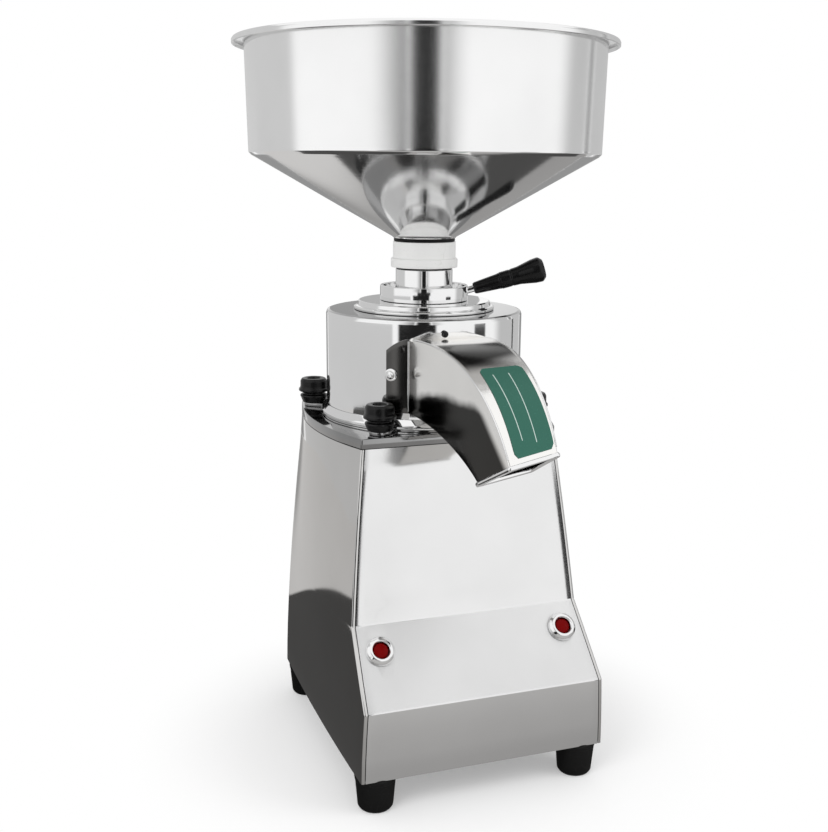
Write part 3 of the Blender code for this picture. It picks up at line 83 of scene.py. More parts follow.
# Stand
SHEET = 1.2 * MM
STAND_TOP = high("body_shell")
STAND_FOOT = low("body_shell")
REAR = 104.0 * MM
REAR_BEND = 7.0 * MM
CREASE_BEND = 2.6 * MM
SIDE_FOLD = 1.7 * MM
FRONT_LINE = ((STAND_TOP, -95.0 * MM), (148.0 * MM, -115.5 * MM), (91.5 * MM, -164.5 * MM),
              (STAND_FOOT, -163.5 * MM))
TOP_SIDE = (106.0 * MM, 290.0 * MM)      # half width and bow radius under the plate
FOOT_SIDE = (112.0 * MM, 4.0)            # the same at the foot
STUD_HOLE = 3.3 * MM
BUTTON_SIDE = 83.2 * MM
BUTTON_SHARE = 0.32                      # of the way down the sloping facet

# Head
EAR_START = 91.2 * MM
EAR_RADIUS = 9.0 * MM
LEVER_TURN = math.radians(-19)
LEVER_TILT = math.radians(73.5)
COLLAR_RADIUS = 39.5 * MM
GATE_TURN = math.radians(-19 + 40)
GATE_HALF_OPEN = math.radians(128)

# Chute
DRUM_SKIN = 88.5 * MM
CHUTE_ROOT, CHUTE_MOUTH = 78.0 * MM, 241.0 * MM
CHUTE_LEFT = (-42.0 * MM, -20.0 * MM)    # at the root and at the mouth
CHUTE_RIGHT = (25.0 * MM, 22.5 * MM)
OUTER_CURVE = [Vector(point) * MM for point in ((-78, 381), (-138, 389), (-205, 373), (-241, 310))]
FLOOR_CURVE = [Vector(point) * MM for point in ((-78, 318), (-115, 319), (-165, 306), (-195, 286.8))]
RIGHT_TURN = Vector((0, 8.0 * MM, 6.0 * MM))    # of the mouth's right side against its left
CHUTE_ROWS = 44
SIDE_BOLT = (-53.5 * MM, 351.0 * MM)
TOP_BOLT_X = -13.0 * MM
BOLT_SEAT = 1.8


FORWARD, UP = (0.0, -1.0, 0.0), (0.0, 0.0, 1.0)


# Shader helpers

def give(tree, node, inputs):
    """Link each input to the socket given for it, or set its fixed value."""
    for key, value in inputs.items():
        if isinstance(value, bpy.types.NodeSocket):
            tree.links.new(value, node.inputs[key])
        else:
            node.inputs[key].default_value = value


def add(tree, kind, inputs=None, **settings):
    """A new shader node with its settings and inputs."""
    node = tree.nodes.new("ShaderNode" + kind)
    for key, value in settings.items():
        setattr(node, key, value)
    give(tree, node, inputs or {})
    return node


def maths(tree, operation, *terms):
    return add(tree, "Math", dict(enumerate(terms)), operation=operation).outputs[0]


def vectors(tree, operation, *terms):
    node = add(tree, "VectorMath", dict(enumerate(terms)), operation=operation)
    return node.outputs["Value" if operation in ("DOT_PRODUCT", "LENGTH") else "Vector"]


def noise(tree, place, scale, detail, roughness=0.5, output="Fac"):
    return add(tree, "TexNoise", {"Vector": place, "Scale": scale, "Detail": detail,
                                  "Roughness": roughness}).outputs[output]


def ramp(tree, source, start, end, first=0.0, last=1.0):
    """A colour ramp from one grey to another between two places."""
    node = add(tree, "ValToRGB", {"Fac": source})
    for element, place, grey in zip(node.color_ramp.elements, (start, end), (first, last)):
        element.position = place
        element.color = (grey, grey, grey, 1)
    return node.outputs["Color"]


def carry(tree, source, start, end, first, last, smooth=False):
    """Carry the values from start to end over to those from first to last."""
    return add(tree, "MapRange", {"Value": source, "From Min": start, "From Max": end, "To Min": first, "To Max": last},
               interpolation_type="SMOOTHSTEP" if smooth else "LINEAR").outputs["Result"]


def above(tree, source, start, end):
    """0 below the start, 1 above the end, smooth between."""
    return carry(tree, source, start, end, 0.0, 1.0, smooth=True)


def below(tree, source, start, end):
    return maths(tree, "SUBTRACT", 1.0, above(tree, source, start, end))


def times(tree, result, *factors):
    for factor in factors:
        result = maths(tree, "MULTIPLY", result, factor)
    return result


def plane_distance(tree, place, weights, offset):
    """Distance from a plane: the place's coordinates weighted and summed, plus the offset."""
    return maths(tree, "ADD", vectors(tree, "DOT_PRODUCT", place, weights), offset)


def mix_colours(tree, factor, first, second):
    return add(tree, "Mix", {0: factor, 6: first, 7: second}, data_type="RGBA").outputs[2]


def tint(shade):
    """A colour with its alpha, from a grey or from red, green and blue."""
    return (shade, shade, shade, 1) if isinstance(shade, float) else (*shade, 1)


def place_on_piece(tree):
    return add(tree, "TexCoord").outputs["Object"]


def seen_rays(tree):
    """1 for rays that show a thing straight, mirrored or through another, 0 for those that only light."""
    rays = add(tree, "LightPath").outputs
    return maths(tree, "MAXIMUM", maths(tree, "MAXIMUM", rays["Is Camera Ray"], rays["Is Glossy Ray"]),
                 rays["Is Transmission Ray"])


# Shader groups

def new_group(name, inputs, outputs):
    """A shader group with named sockets: the group, its inputs and its output node."""
    group = bpy.data.node_groups.new(name, "ShaderNodeTree")
    for label, value in inputs.items():
        kind = "NodeSocketFloat" if isinstance(value, float) else "NodeSocketVector"
        group.interface.new_socket(name=label, in_out="INPUT", socket_type=kind).default_value = value
    for label in outputs:
        group.interface.new_socket(name=label, in_out="OUTPUT", socket_type="NodeSocketFloat")
    return group, group.nodes.new("NodeGroupInput").outputs, group.nodes.new("NodeGroupOutput")


def grain_group():
    """Fine parallel lines, as a belt or a lathe leaves them, and the blotches between them."""
    inputs = {"Vector": (0, 0, 0), "Stretch": (1, 1, 1), "Density": 60.0}
    group, given, result = new_group("metal_grain", inputs, ("Lines", "Blotches"))
    stretched = vectors(group, "MULTIPLY", given["Vector"], given["Stretch"])
    blotches = noise(group, given["Vector"], 9.0, 3.0, 0.55)
    give(group, result, {"Lines": noise(group, stretched, given["Density"], 4.0, 0.65),
                         "Blotches": ramp(group, blotches, 0.35, 0.65)})
    return group


def scuff_group():
    """Sparse hair scratches and specks of dust, as handling leaves them."""
    inputs = {"Vector": (0, 0, 0), "Size": 30.0}
    group, given, result = new_group("handling_marks", inputs, ("Scratches", "Specks"))
    place = given["Vector"]
    bend = noise(group, place, 14.0, 2.0, output="Color")
    shifted = vectors(group, "MULTIPLY_ADD", bend, (0.05, 0.05, 0.05), place)
    cells = add(group, "TexVoronoi", {"Vector": shifted, "Scale": given["Size"]}, feature="DISTANCE_TO_EDGE")
    hair = ramp(group, cells.outputs["Distance"], 0.0, 0.012, 1.0, 0.0)
    patches = ramp(group, noise(group, place, 22.0, 1.0), 0.52, 0.62)
    give(group, result, {"Scratches": maths(group, "MULTIPLY", hair, patches),
                         "Specks": ramp(group, noise(group, place, 900.0, 1.0), 0.68, 0.74)})
    return group


GRAIN = grain_group()
SCUFFS = scuff_group()


# Materials

SCRATCH_ROUGHNESS = 0.03
BAND_EDGE_SHARE = 0.96
GRAIN_DEPTH = 0.0004
SKIN_DEPTH = 0.0003


def start_material(name):
    """A new material: itself, its tree, its shader and the place on the piece."""
    material = bpy.data.materials.new(name)
    material.use_nodes = True
    tree = material.node_tree
    return material, tree, tree.nodes["Principled BSDF"], place_on_piece(tree)


def use_scuffs(tree, place, size):
    return add(tree, "Group", {"Vector": place, "Size": size}, node_tree=SCUFFS).outputs


def steel(name, shade, dull, rough, stretch, density, relief, marks=30.0, band=None):
    """Stainless steel: grain lines, blotches in its colour and gloss, hair scratches.

    A band is the middle, half height and added roughness of a duller belt round the piece.
    """
    material, tree, shader, place = start_material(name)
    grain = add(tree, "Group", {"Vector": place, "Stretch": stretch, "Density": density}, node_tree=GRAIN).outputs
    scuffs = use_scuffs(tree, place, marks)
    gloss = carry(tree, grain["Blotches"], 0.0, 1.0, *rough)
    gloss = maths(tree, "MULTIPLY_ADD", scuffs["Scratches"], SCRATCH_ROUGHNESS, gloss)
    if band:
        centre, half, extra = band
        height = add(tree, "SeparateXYZ", {0: place}).outputs["Z"]
        away = maths(tree, "ABSOLUTE", maths(tree, "SUBTRACT", height, centre))
        gloss = maths(tree, "ADD", gloss, carry(tree, away, half * BAND_EDGE_SHARE, half, extra, 0.0))
    bump = add(tree, "Bump", {"Strength": relief, "Distance": GRAIN_DEPTH, "Height": grain["Lines"]})
    give(tree, shader, {"Metallic": 1.0, "Roughness": gloss, "Normal": bump.outputs["Normal"],
                        "Base Color": mix_colours(tree, grain["Blotches"], tint(shade), tint(dull))})
    return material


def moulded(name, shade, worn, rough, relief, grain_size=700.0, shine=0.5):
    """Moulded plastic or rubber: a fine skin, paler specks and uneven gloss."""
    material, tree, shader, place = start_material(name)
    scuffs = use_scuffs(tree, place, 60.0)
    marks = maths(tree, "MAXIMUM", scuffs["Scratches"], scuffs["Specks"])
    grain = noise(tree, place, grain_size, 3.0)
    bump = add(tree, "Bump", {"Strength": relief, "Distance": SKIN_DEPTH, "Height": grain})
    give(tree, shader, {"Metallic": 0.0, "Specular IOR Level": shine, "Normal": bump.outputs["Normal"],
                        "Roughness": carry(tree, noise(tree, place, 35.0, 3.0), 0.0, 1.0, *rough),
                        "Base Color": mix_colours(tree, marks, tint(shade), tint(worn))})
    return material


def paint_shade_over(tree, mask, shade):
    """Lay a painted shade colour over the metal's own where the mask is 1."""
    colour = tree.nodes["Principled BSDF"].inputs["Base Color"]
    tree.links.new(mix_colours(tree, mask, colour.links[0].from_socket, tint(shade)), colour)


def paint_lid_shade(tree):
    """The drum's flat lid top is painted darker, a painted shade; its side is polished."""
    place = place_on_piece(tree)
    height = plane_distance(tree, place, UP, -high("grinding_drum"))
    paint_shade_over(tree, above(tree, height, -1.2 * MM, -0.2 * MM), 0.34)


def paint_chute_shade(tree):
    """The sheet's painted dark reflection on its left side's lower half, and painted shade in a band across its top
    before the plate.
    """
    place = place_on_piece(tree)
    run = CHUTE_MOUTH - CHUTE_ROOT
    left_slope = (CHUTE_LEFT[1] - CHUTE_LEFT[0]) / run
    right_slope = (CHUTE_RIGHT[0] - CHUTE_RIGHT[1]) / run
    from_left = plane_distance(tree, place, (1.0, left_slope, 0.0), (CHUTE_ROOT - AXIS_Y) * left_slope - CHUTE_LEFT[0])
    from_right = plane_distance(tree, place, (-1.0, right_slope, 0.0),
                                (CHUTE_ROOT - AXIS_Y) * right_slope + CHUTE_RIGHT[0])
    ahead = plane_distance(tree, place, FORWARD, AXIS_Y)
    height = plane_distance(tree, place, UP, -348.0 * MM)

    # The side's painted dark reflection lies under a line that peaks at one place ahead; the outer edge stays bright
    off_peak = maths(tree, "SUBTRACT", ahead, 168.0 * MM)
    bow = maths(tree, "MULTIPLY_ADD", maths(tree, "MULTIPLY", off_peak, off_peak), 1.6, height)
    wander = carry(tree, noise(tree, place, 45.0, 2.0), 0.0, 1.0, -4.0 * MM, 4.0 * MM)
    outer_edge = plane_distance(tree, place, (0.0, -0.697, 0.717),
                                0.697 * (AXIS_Y - 213.0 * MM) - 0.717 * 337.0 * MM)
    side = times(tree, below(tree, from_left, 1.2 * MM, 1.8 * MM),
                 below(tree, maths(tree, "ADD", bow, wander), -8.0 * MM, 2.0 * MM),
                 below(tree, outer_edge, -10.0 * MM, -1.0 * MM))
    # The painted shade across the top, between the side walls and before the plate
    slanted = maths(tree, "MULTIPLY_ADD", from_left, 0.35, ahead)
    top = times(tree, above(tree, from_left, 1.3 * MM, 3.4 * MM), above(tree, from_right, 1.3 * MM, 3.4 * MM),
                above(tree, height, 0.0, 12.0 * MM), above(tree, ahead, 118.0 * MM, 126.0 * MM),
                below(tree, slanted, 166.0 * MM, 182.0 * MM))
    # Near black colour of the painted reflection and shade
    paint_shade_over(tree, maths(tree, "MAXIMUM", side, top), (0.03, 0.029, 0.027))


ACROSS = (0.03, 0.03, 1.0)
UPRIGHT = (1.0, 1.0, 0.02)
ALL_WAYS = (1.0, 1.0, 1.0)
HOPPER_BAND = (580.0 * MM, 46.0 * MM, 0.07)
FACET_BAND = (119.75 * MM, 28.25 * MM, 0.3)

rolled_steel = steel("rolled_hopper_steel", 0.93, 0.88, (0.07, 0.1), ACROSS, 900.0, 0.06, 16.0, HOPPER_BAND)
mirror_steel = steel("mirror_polished_steel", 0.9, 0.86, (0.04, 0.08), ACROSS, 500.0, 0.01, 40.0)
drum_steel = steel("polished_drum_steel", 0.9, 0.86, (0.04, 0.08), ACROSS, 500.0, 0.01, 40.0)
# The studs are painted near black, a painted shade under the knobs
stud_shade_steel = steel("stud_steel_painted_shade", 0.05, 0.03, (0.3, 0.4), ACROSS, 500.0, 0.06)
# The top plate and flange ears are painted darker than polished steel, a painted shade
plate_shaded_steel = steel("polished_plate_steel_painted_shade", 0.38, 0.28, (0.06, 0.12), ALL_WAYS, 300.0, 0.02, 40.0)
side_steel = steel("stand_side_steel", (0.68, 0.672, 0.663), (0.64, 0.632, 0.623), (0.04, 0.07), UPRIGHT,
                   700.0, 0.02, 18.0)
front_steel = steel("stand_front_steel", 0.84, 0.8, (0.11, 0.15), ACROSS, 700.0, 0.02, 18.0, FACET_BAND)
chute_steel = steel("chute_sheet_steel", (0.96, 0.95, 0.93), (0.9, 0.89, 0.87), (0.1, 0.2), ALL_WAYS,
                    240.0, 0.06, 34.0)
# The tab is the chute's sheet with a painted dark reflection in its colour
tab_painted_dark_steel = steel("chute_tab_painted_reflection_steel", (0.14, 0.136, 0.132), (0.09, 0.088, 0.085), (0.1, 0.2), ALL_WAYS,
                  240.0, 0.06, 34.0)
# Painted dark reflection and shade on the chute sheet
paint_chute_shade(chute_steel.node_tree)
# The drum lid's top gets a painted shade in its colour
paint_lid_shade(drum_steel.node_tree)
turned_steel = steel("turned_bright_steel", 0.62, 0.5, (0.22, 0.34), ACROSS, 500.0, 0.06)
cast_metal = steel("cast_motor_metal", (0.33, 0.33, 0.34), (0.24, 0.24, 0.25), (0.4, 0.6), ALL_WAYS, 420.0, 0.4)
stator_steel = steel("laminated_stator_steel", (0.36, 0.25, 0.18), (0.26, 0.2, 0.16), (0.35, 0.55), ACROSS, 900.0, 0.3)
capacitor_can = steel("drawn_can_aluminium", (0.7, 0.7, 0.71), 0.6, (0.28, 0.4), ACROSS, 300.0, 0.05)
black_plastic = moulded("black_knob_plastic", (0.003, 0.003, 0.0032), 0.012, (0.22, 0.34), 0.08, shine=0.3)
grip_plastic = moulded("black_grip_plastic", (0.003, 0.003, 0.0032), 0.012, (0.18, 0.3), 0.06, shine=0.3)
black_rubber = moulded("black_foot_rubber", 0.004, (0.015, 0.015, 0.014), (0.4, 0.6), 0.3, 420.0, 0.2)
white_nylon = moulded("white_turned_nylon", (0.82, 0.82, 0.81), (0.7, 0.7, 0.68), (0.3, 0.42), 0.06, 260.0)
ruby_cap = moulded("dark_red_button_cap", (0.15, 0.0004, 0.0006), (0.2, 0.003, 0.003), (0.16, 0.26), 0.02, 300.0, 0.06)
green_plate = moulded("green_printed_plate", (0.026, 0.115, 0.083), (0.04, 0.15, 0.115), (0.35, 0.46), 0.03,
                      500.0, 0.25)
white_print = moulded("white_printed_line", (0.5, 0.6, 0.56), (0.4, 0.5, 0.46), (0.4, 0.5), 0.02, 500.0, 0.25)


# Shaping

def deselect():
    if bpy.context.object and bpy.context.object.mode == "EDIT":
        bpy.ops.object.mode_set(mode="OBJECT")
    bpy.ops.object.select_all(action="DESELECT")


def choose(piece):
    deselect()
    piece.select_set(True)
    bpy.context.view_layer.objects.active = piece


def named(name):
    piece = bpy.context.object
    piece.name = name
    piece.data.name = name
    return piece


def edit():
    bpy.ops.object.mode_set(mode="EDIT")
    bpy.ops.mesh.select_mode(type="VERT")
    bpy.ops.mesh.select_all(action="SELECT")


def object_mode():
    bpy.ops.object.mode_set(mode="OBJECT")


def settle(piece):
    """Put the piece's place into its mesh."""
    choose(piece)
    bpy.ops.object.transform_apply(location=True, rotation=True, scale=True)


def modify(piece, kind, **settings):
    """Add a modifier and apply it."""
    choose(piece)
    change = piece.modifiers.new(kind.lower(), kind)
    for key, value in settings.items():
        setattr(change, key, value)
    bpy.ops.object.modifier_apply(modifier=change.name)


def round_edges(piece, width, segments=2, angle=50):
    modify(piece, "BEVEL", width=width, segments=segments, limit_method="ANGLE", angle_limit=math.radians(angle))


def cut(piece, tool):
    """Cut with a tool piece, which is then removed."""
    settle(tool)
    modify(piece, "BOOLEAN", object=tool, operation="DIFFERENCE", solver="EXACT")
    bpy.data.objects.remove(tool, do_unlink=True)


def face_out(piece, merge=0.000001):
    choose(piece)
    edit()
    bpy.ops.mesh.remove_doubles(threshold=merge)
    bpy.ops.mesh.select_all(action="SELECT")
    bpy.ops.mesh.normals_make_consistent(inside=False)
    object_mode()


def dress(piece, body, material, slot, *nodes, angle=30):
    """Smooth the piece, give it its finish and set it on its body in place of its nodes."""
    settle(piece)
    bpy.ops.object.shade_smooth_by_angle(angle=math.radians(angle))
    piece.data.materials.clear()
    piece.data.materials.append(material)
    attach(piece, body)
    if nodes:
        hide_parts(*nodes)


def dress_head(piece, material, slot, *nodes, angle=30):
    dress(piece, "grinding_head", material, slot, *nodes, angle=angle)


def finish_node(node, material):
    """Keep a frame node as it is, with its finish."""
    mesh = NODES[node].data
    mesh.materials.clear()
    mesh.materials.append(material)


def rounded(points, steps=4):
    """A profile with its corners rounded: each point is radius, height and its corner's bend."""
    result = []
    count = len(points)
    for place, (x, y, bend) in enumerate(points):
        corner = Vector((x, y))
        before = Vector(points[(place - 1) % count][:2]) - corner
        after = Vector(points[(place + 1) % count][:2]) - corner
        open_end = place in (0, count - 1) and (x < 0.00002)
        turn = before.angle(after) if before.length and after.length else math.pi
        if bend <= 0 or open_end or turn > 3.1:
            result.append((x, y))
            continue
        reach = min(bend / math.tan(turn / 2), before.length * 0.49, after.length * 0.49)
        start = corner + before.normalized() * reach
        end = corner + after.normalized() * reach
        for share in shares(steps):
            point = start * (1 - share) ** 2 + corner * 2 * share * (1 - share) + end * share ** 2
            result.append((point.x, point.y))
    return result


def spun(name, profile, steps, centre):
    """A turned piece: a ring drawn at the profile's first point and extruded along it, back to its start."""
    x, y = centre
    tiny = 0.000002
    line = [(max(radius, tiny), height) for radius, height in profile]
    if profile[0][0] > tiny:
        line.append(line[0])
    deselect()
    radius, height = line[0]
    bpy.ops.mesh.primitive_circle_add(vertices=steps, radius=radius, location=(x, y, height))
    piece = named(name)
    edit()
    for next_radius, next_height in line[1:]:
        bpy.ops.mesh.extrude_region_move(TRANSFORM_OT_translate={"value": (0, 0, next_height - height)})
        share = next_radius / radius
        if abs(share - 1) > 0.0000001:
            bpy.ops.transform.resize(value=(share, share, 1), center_override=(x, y, next_height))
        radius, height = next_radius, next_height
    object_mode()
    settle(piece)
    face_out(piece, 0.000008)
    return piece


def turned(name, shape, bend_steps, steps, base=0.0, centre=MILL_AXIS):
    """A turned piece from a shape in millimetres, its heights above the base."""
    profile = rounded([(radius * MM, height * MM, bend * MM) for radius, height, bend in shape], bend_steps)
    return spun(name, [(radius, base + height) for radius, height in profile], steps, centre)


def flat_piece(name, outline, bottom, top, edge=0.0, segments=2):
    """A flat piece: a filled ring moved on to its outline, extruded up, its edges rounded."""
    deselect()
    bpy.ops.mesh.primitive_circle_add(vertices=len(outline), radius=0.01, fill_type="NGON", location=(0, 0, 0))
    piece = named(name)
    for vertex, (x, y) in zip(piece.data.vertices, outline):
        vertex.co = (x, y, bottom)
    edit()
    bpy.ops.mesh.extrude_region_move(TRANSFORM_OT_translate={"value": (0, 0, top - bottom)})
    object_mode()
    face_out(piece)
    if edge:
        round_edges(piece, edge, segments, 40)
    return piece


def move_to(piece, matrix):
    piece.matrix_world = matrix @ piece.matrix_world
    settle(piece)
    return piece


def facing(centre, outward):
    """The place at a centre whose +Z looks outward."""
    return Matrix.Translation(centre) @ outward.to_track_quat("Z", "Y").to_matrix().to_4x4()


def post(name, radius, bottom, top, x=0.0, y=0.0, vertices=48):
    """A round tool."""
    deselect()
    bpy.ops.mesh.primitive_cylinder_add(vertices=vertices, radius=radius, depth=top - bottom,
                                        location=(x, y, (top + bottom) / 2))
    return named(name)


def drill(piece, radius, reach, place):
    """A round hole through a piece, along the place's Z."""
    tool = post("drill_tool", radius, -reach, reach)
    tool.matrix_world = place
    cut(piece, tool)


def skin(name, rows, closed=False):
    """A sheet drawn from a grid, its points moved on to rows of places."""
    deselect()
    across, down = len(rows[0]), len(rows)
    bpy.ops.mesh.primitive_grid_add(x_subdivisions=across - 1, y_subdivisions=down - 1, size=1)
    piece = named(name)
    for number, vertex in enumerate(piece.data.vertices):
        vertex.co = rows[number // across][number % across]
    if closed:
        face_out(piece, 0.000005)
    return piece


def thicken(piece, thickness, offset):
    """Give a sheet its thickness and turn its faces outwards."""
    modify(piece, "SOLIDIFY", thickness=thickness, offset=offset)
    face_out(piece, 0.0000005)


def sheet_piece(name, rows):
    """Sheet steel, its outer face through the rows of places and its thickness towards the mill axis."""
    piece = skin(name, rows)
    face_out(piece)
    outwards = sum(polygon.normal.dot(polygon.center - Vector((*MILL_AXIS, polygon.center.z)))
                   for polygon in piece.data.polygons)
    thicken(piece, SHEET, -1.0 if outwards > 0 else 1.0)
    return piece


# Hopper, coupler and gaskets

def make_hopper():
    rim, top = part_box("hopper")[1].x / MM, high("hopper") / MM
    foot, spigot = high("hopper_gasket") / MM + 0.3, low("hopper") / MM + 0.1
    shape = [(rim - 10.6, top, 1.2), (rim - 1.2, top, 2.2), (rim, top - 2.0, 1.6), (rim, top - 4.8, 0.5),
             (rim - 1.3, top - 5.2, 0.4), (rim - 1.6, top - 1.9, 0.6), (155.7, top - 1.9, 1.0),
             (153.8, 533.2, 1.6), (151.4, 530.8, 1.8), (28.6, foot + 1.2, 1.6), (27.6, foot, 0.3),
             (23.7, foot, 0.4), (23.5, spigot, 0.4), (22.4, spigot, 0.4), (22.4, foot + 1.2, 1.0),
             (27.4, foot + 2.4, 1.6), (149.6, 531.7, 3.2), (152.6, 535.4, 3.2), (154.4, top - 2.6, 1.4)]
    dress(turned("spun_hopper", shape, 5, 192), "hopper_unit", rolled_steel, "satin_steel", "hopper", angle=50)


def make_coupler():
    top, bead = tall("nylon_coupler"), 8.0
    shape = [(24.2, top, 0.5), (28.0, top, 0.8), (28.0, bead + 0.4, 0.6), (29.9, bead - 0.3, 1.8), (29.9, 0, 1.0),
             (24.2, 0, 0.4)]
    dress_head(turned("white_coupler", shape, 5, 128, low("nylon_coupler")), white_nylon, "white_nylon",
          "nylon_coupler", angle=45)
    for name, node, outer, inner in (("lower_gasket_ring", "tube_gasket", 25.4, 23.9),
                                     ("upper_gasket_ring", "hopper_gasket", 27.4, 24.2)):
        top = tall(node)
        shape = [(inner, top, 0.2), (outer, top, 1.0), (outer, 0, 1.0), (inner, 0, 0.2)]
        dress_head(turned(name, shape, 4, 96, low(node)), black_rubber, "black_rubber", node, angle=45)


# Drum, lid, tube and collar

def make_drum():
    top, outer, inner, bore = tall("grinding_drum"), 88.2, 86.2, 25.8
    shape = [(bore, top, 0.2), (outer - 3.4, top, 1.2), (outer - 0.9, top - 0.8, 1.8), (outer, top - 3.6, 1.6),
             (outer, 0, 0.4), (inner, 0, 0.4), (inner, top - 2.0, 2.0), (bore, top - 2.0, 0.2)]
    drum = turned("polished_drum", shape, 6, 192, low("grinding_drum"))
    first = Vector((-39.8 * MM, AXIS_Y - 95 * MM, 320.2 * MM))
    last = Vector((22.8 * MM, AXIS_Y - 44 * MM, 378.8 * MM))
    deselect()
    bpy.ops.mesh.primitive_cube_add(size=1, location=(first + last) / 2)
    outlet = named("outlet_tool")
    outlet.scale = last - first
    cut(drum, outlet)
    dress_head(drum, drum_steel, "polished_steel", "grinding_drum", angle=28)


def make_lid_boss():
    top = tall("lid_boss")
    shape = [(25.8, top, 0.2), (58.2, top, 1.0), (59.4, top - 0.9, 0.7), (60.0, 3.6, 0.7), (62.0, 3.0, 0.7),
             (63.2, 2.0, 0.8), (63.2, 0, 0.4), (25.8, 0, 0.2)]
    dress_head(turned("stepped_lid_boss", shape, 5, 160, low("lid_boss")), mirror_steel, "polished_steel",
          "lid_boss")


def make_tube():
    top, foot = tall("feed_tube"), 4.0
    shape = [(23.9, top, 0.4), (25.5, top, 0.6), (25.5, foot, 0.2), (33.0, foot, 0.3), (33.0, 0, 0.3), (23.9, 0, 0.3)]
    tube = turned("polished_feed_tube", shape, 4, 128, low("feed_tube"))
    reach, clearance = 29 * MM, 0.3 * MM
    angles = [GATE_TURN + GATE_HALF_OPEN * (2 * share - 1) for share in shares(48)]
    outline = [MILL_AXIS] + [(reach * math.cos(turn), AXIS_Y + reach * math.sin(turn)) for turn in angles]
    cut(tube, flat_piece("slot_tool", outline, low("gate_blade") - clearance, high("gate_blade") + clearance))
    dress_head(tube, mirror_steel, "polished_steel", "feed_tube")


def make_collar():
    top = tall("adjusting_collar")
    shape = [(36.5, top, 0.7), (39.5, top, 0.9), (39.5, 0, 0.5), (25.8, 0, 0.2), (25.8, 3.0, 0.2), (36.5, 3.0, 0.8)]
    dress(turned("polished_collar", shape, 5, 144, low("adjusting_collar")), "feed_collar", mirror_steel,
          "polished_steel", "adjusting_collar")


def make_lever():
    place = (Matrix.Translation((*MILL_AXIS, 0)) @ Matrix.Rotation(LEVER_TURN, 4, "Z")
             @ Matrix.Translation((COLLAR_RADIUS, 0, high("adjusting_collar") - 4.8 * MM))
             @ Matrix.Rotation(LEVER_TILT, 4, "Y"))
    shape = [(0, 46.0, 0), (3.2, 46.0, 0.4), (3.2, 3.0, 0), (3.2, -1.2, 0), (0, -1.2, 0)]
    stem = move_to(turned("lever_rod", shape, 3, 40, centre=ORIGIN), place)
    dress(stem, "feed_collar", mirror_steel, "polished_steel", "lever_stem")
    shape = [(0, 71.5, 0), (8.0, 71.3, 2.5), (11.3, 67.8, 3.4), (10.8, 61.2, 5.0), (8.1, 47.7, 8.0), (7.8, 41.6, 0.8),
             (7.4, 41.0, 0.4), (7.4, 40.0, 0.4), (7.7, 39.4, 0.4), (7.6, 31.2, 0.4), (7.2, 30.6, 0.4), (7.2, 29.4, 0.4),
             (6.9, 28.6, 0.5), (6.7, 25.3, 3.0), (5.7, 12.0, 6.0), (5.3, 7.1, 1.5), (4.4, 5.5, 0.6),
             (3.5, 5.5, 0), (3.5, 46.3, 0), (0, 46.3, 0)]
    grip = move_to(turned("lever_handle", shape, 5, 72, centre=ORIGIN), place)
    dress(grip, "feed_collar", grip_plastic, "black_plastic", "lever_grip", angle=50)


# Flange, knobs and top plate

def make_flange():
    base, top = low("drum_flange"), tall("drum_flange")
    shape = [(88.5, top, 0.2), (89.2, top - 0.2, 0.5), (92.6, 5.6, 2.4), (93.2, 4.4, 0.8), (93.2, 2.0, 0.6),
             (91.3, 1.6, 0.5), (91.2, 0, 0.2), (88.5, 0, 0.2)]
    dress_head(turned("skirted_flange", shape, 5, 192, base), mirror_steel, "satin_steel", "drum_flange")
    for corner in CORNERS:
        x, y, _ = middle("clamp_stud_" + corner)
        reach = math.hypot(x, y - AXIS_Y)
        turns = [math.pi * (share - 0.5) for share in shares(20)]
        outline = [(EAR_START, -EAR_RADIUS)]
        outline += [(reach + EAR_RADIUS * math.cos(turn), EAR_RADIUS * math.sin(turn)) for turn in turns]
        outline.append((EAR_START, EAR_RADIUS))
        ear = flat_piece("flange_ear_" + corner, outline, base, base + 3.0 * MM, 0.5 * MM)
        cut(ear, post("ear_tool", STUD_HOLE, base - 2 * MM, base + 6 * MM, reach))
        move_to(ear, Matrix.Translation((*MILL_AXIS, 0)) @ Matrix.Rotation(math.atan2(y - AXIS_Y, x), 4, "Z"))
        # The ears take the plate's painted shade
        dress_head(ear, plate_shaded_steel, "satin_steel")


def make_knobs():
    top = tall("clamp_knob_front_left")
    shape = [(0, top - 3.4, 0), (5.2, top - 3.4, 0.6), (6.2, top - 0.5, 0.5), (8.0, top, 0.8), (11.0, top - 0.2, 1.8),
             (12.4, top - 2.6, 1.6), (12.5, top * 0.67, 0.4), (12.9, top * 0.6, 0.5), (13.8, top * 0.565, 0.6),
             (14.0, top * 0.48, 0.7), (12.6, top * 0.44, 0.7), (10.2, top * 0.41, 0.6), (10.0, top * 0.35, 0.6),
             (12.4, top * 0.31, 0.6), (12.8, top * 0.26, 0.6), (12.2, top * 0.21, 0.7), (10.8, top * 0.05, 0.8),
             (10.4, 0, 0.4), (3.3, 0, 0.2), (3.3, top - 5.3, 0), (0, top - 5.3, 0)]
    for corner in CORNERS:
        knob = turned("stepped_knob_" + corner, shape, 4, 64, low("clamp_knob_front_left"),
                      middle("clamp_stud_" + corner)[:2])
        dress(knob, "knob_" + corner, black_plastic, "black_plastic", "clamp_knob_" + corner, angle=55)
        # The stud's near black colour is painted shade under the knob
        finish_node("clamp_stud_" + corner, stud_shade_steel)


# Stand

def bowed(side, share, front):
    """Half width of a bowed side, at a share of the way from its front to the rear."""
    half_width, radius = side
    from_middle = blend_value(front, REAR, share) - (front + REAR) / 2
    return half_width - radius + math.sqrt(radius ** 2 - from_middle ** 2)


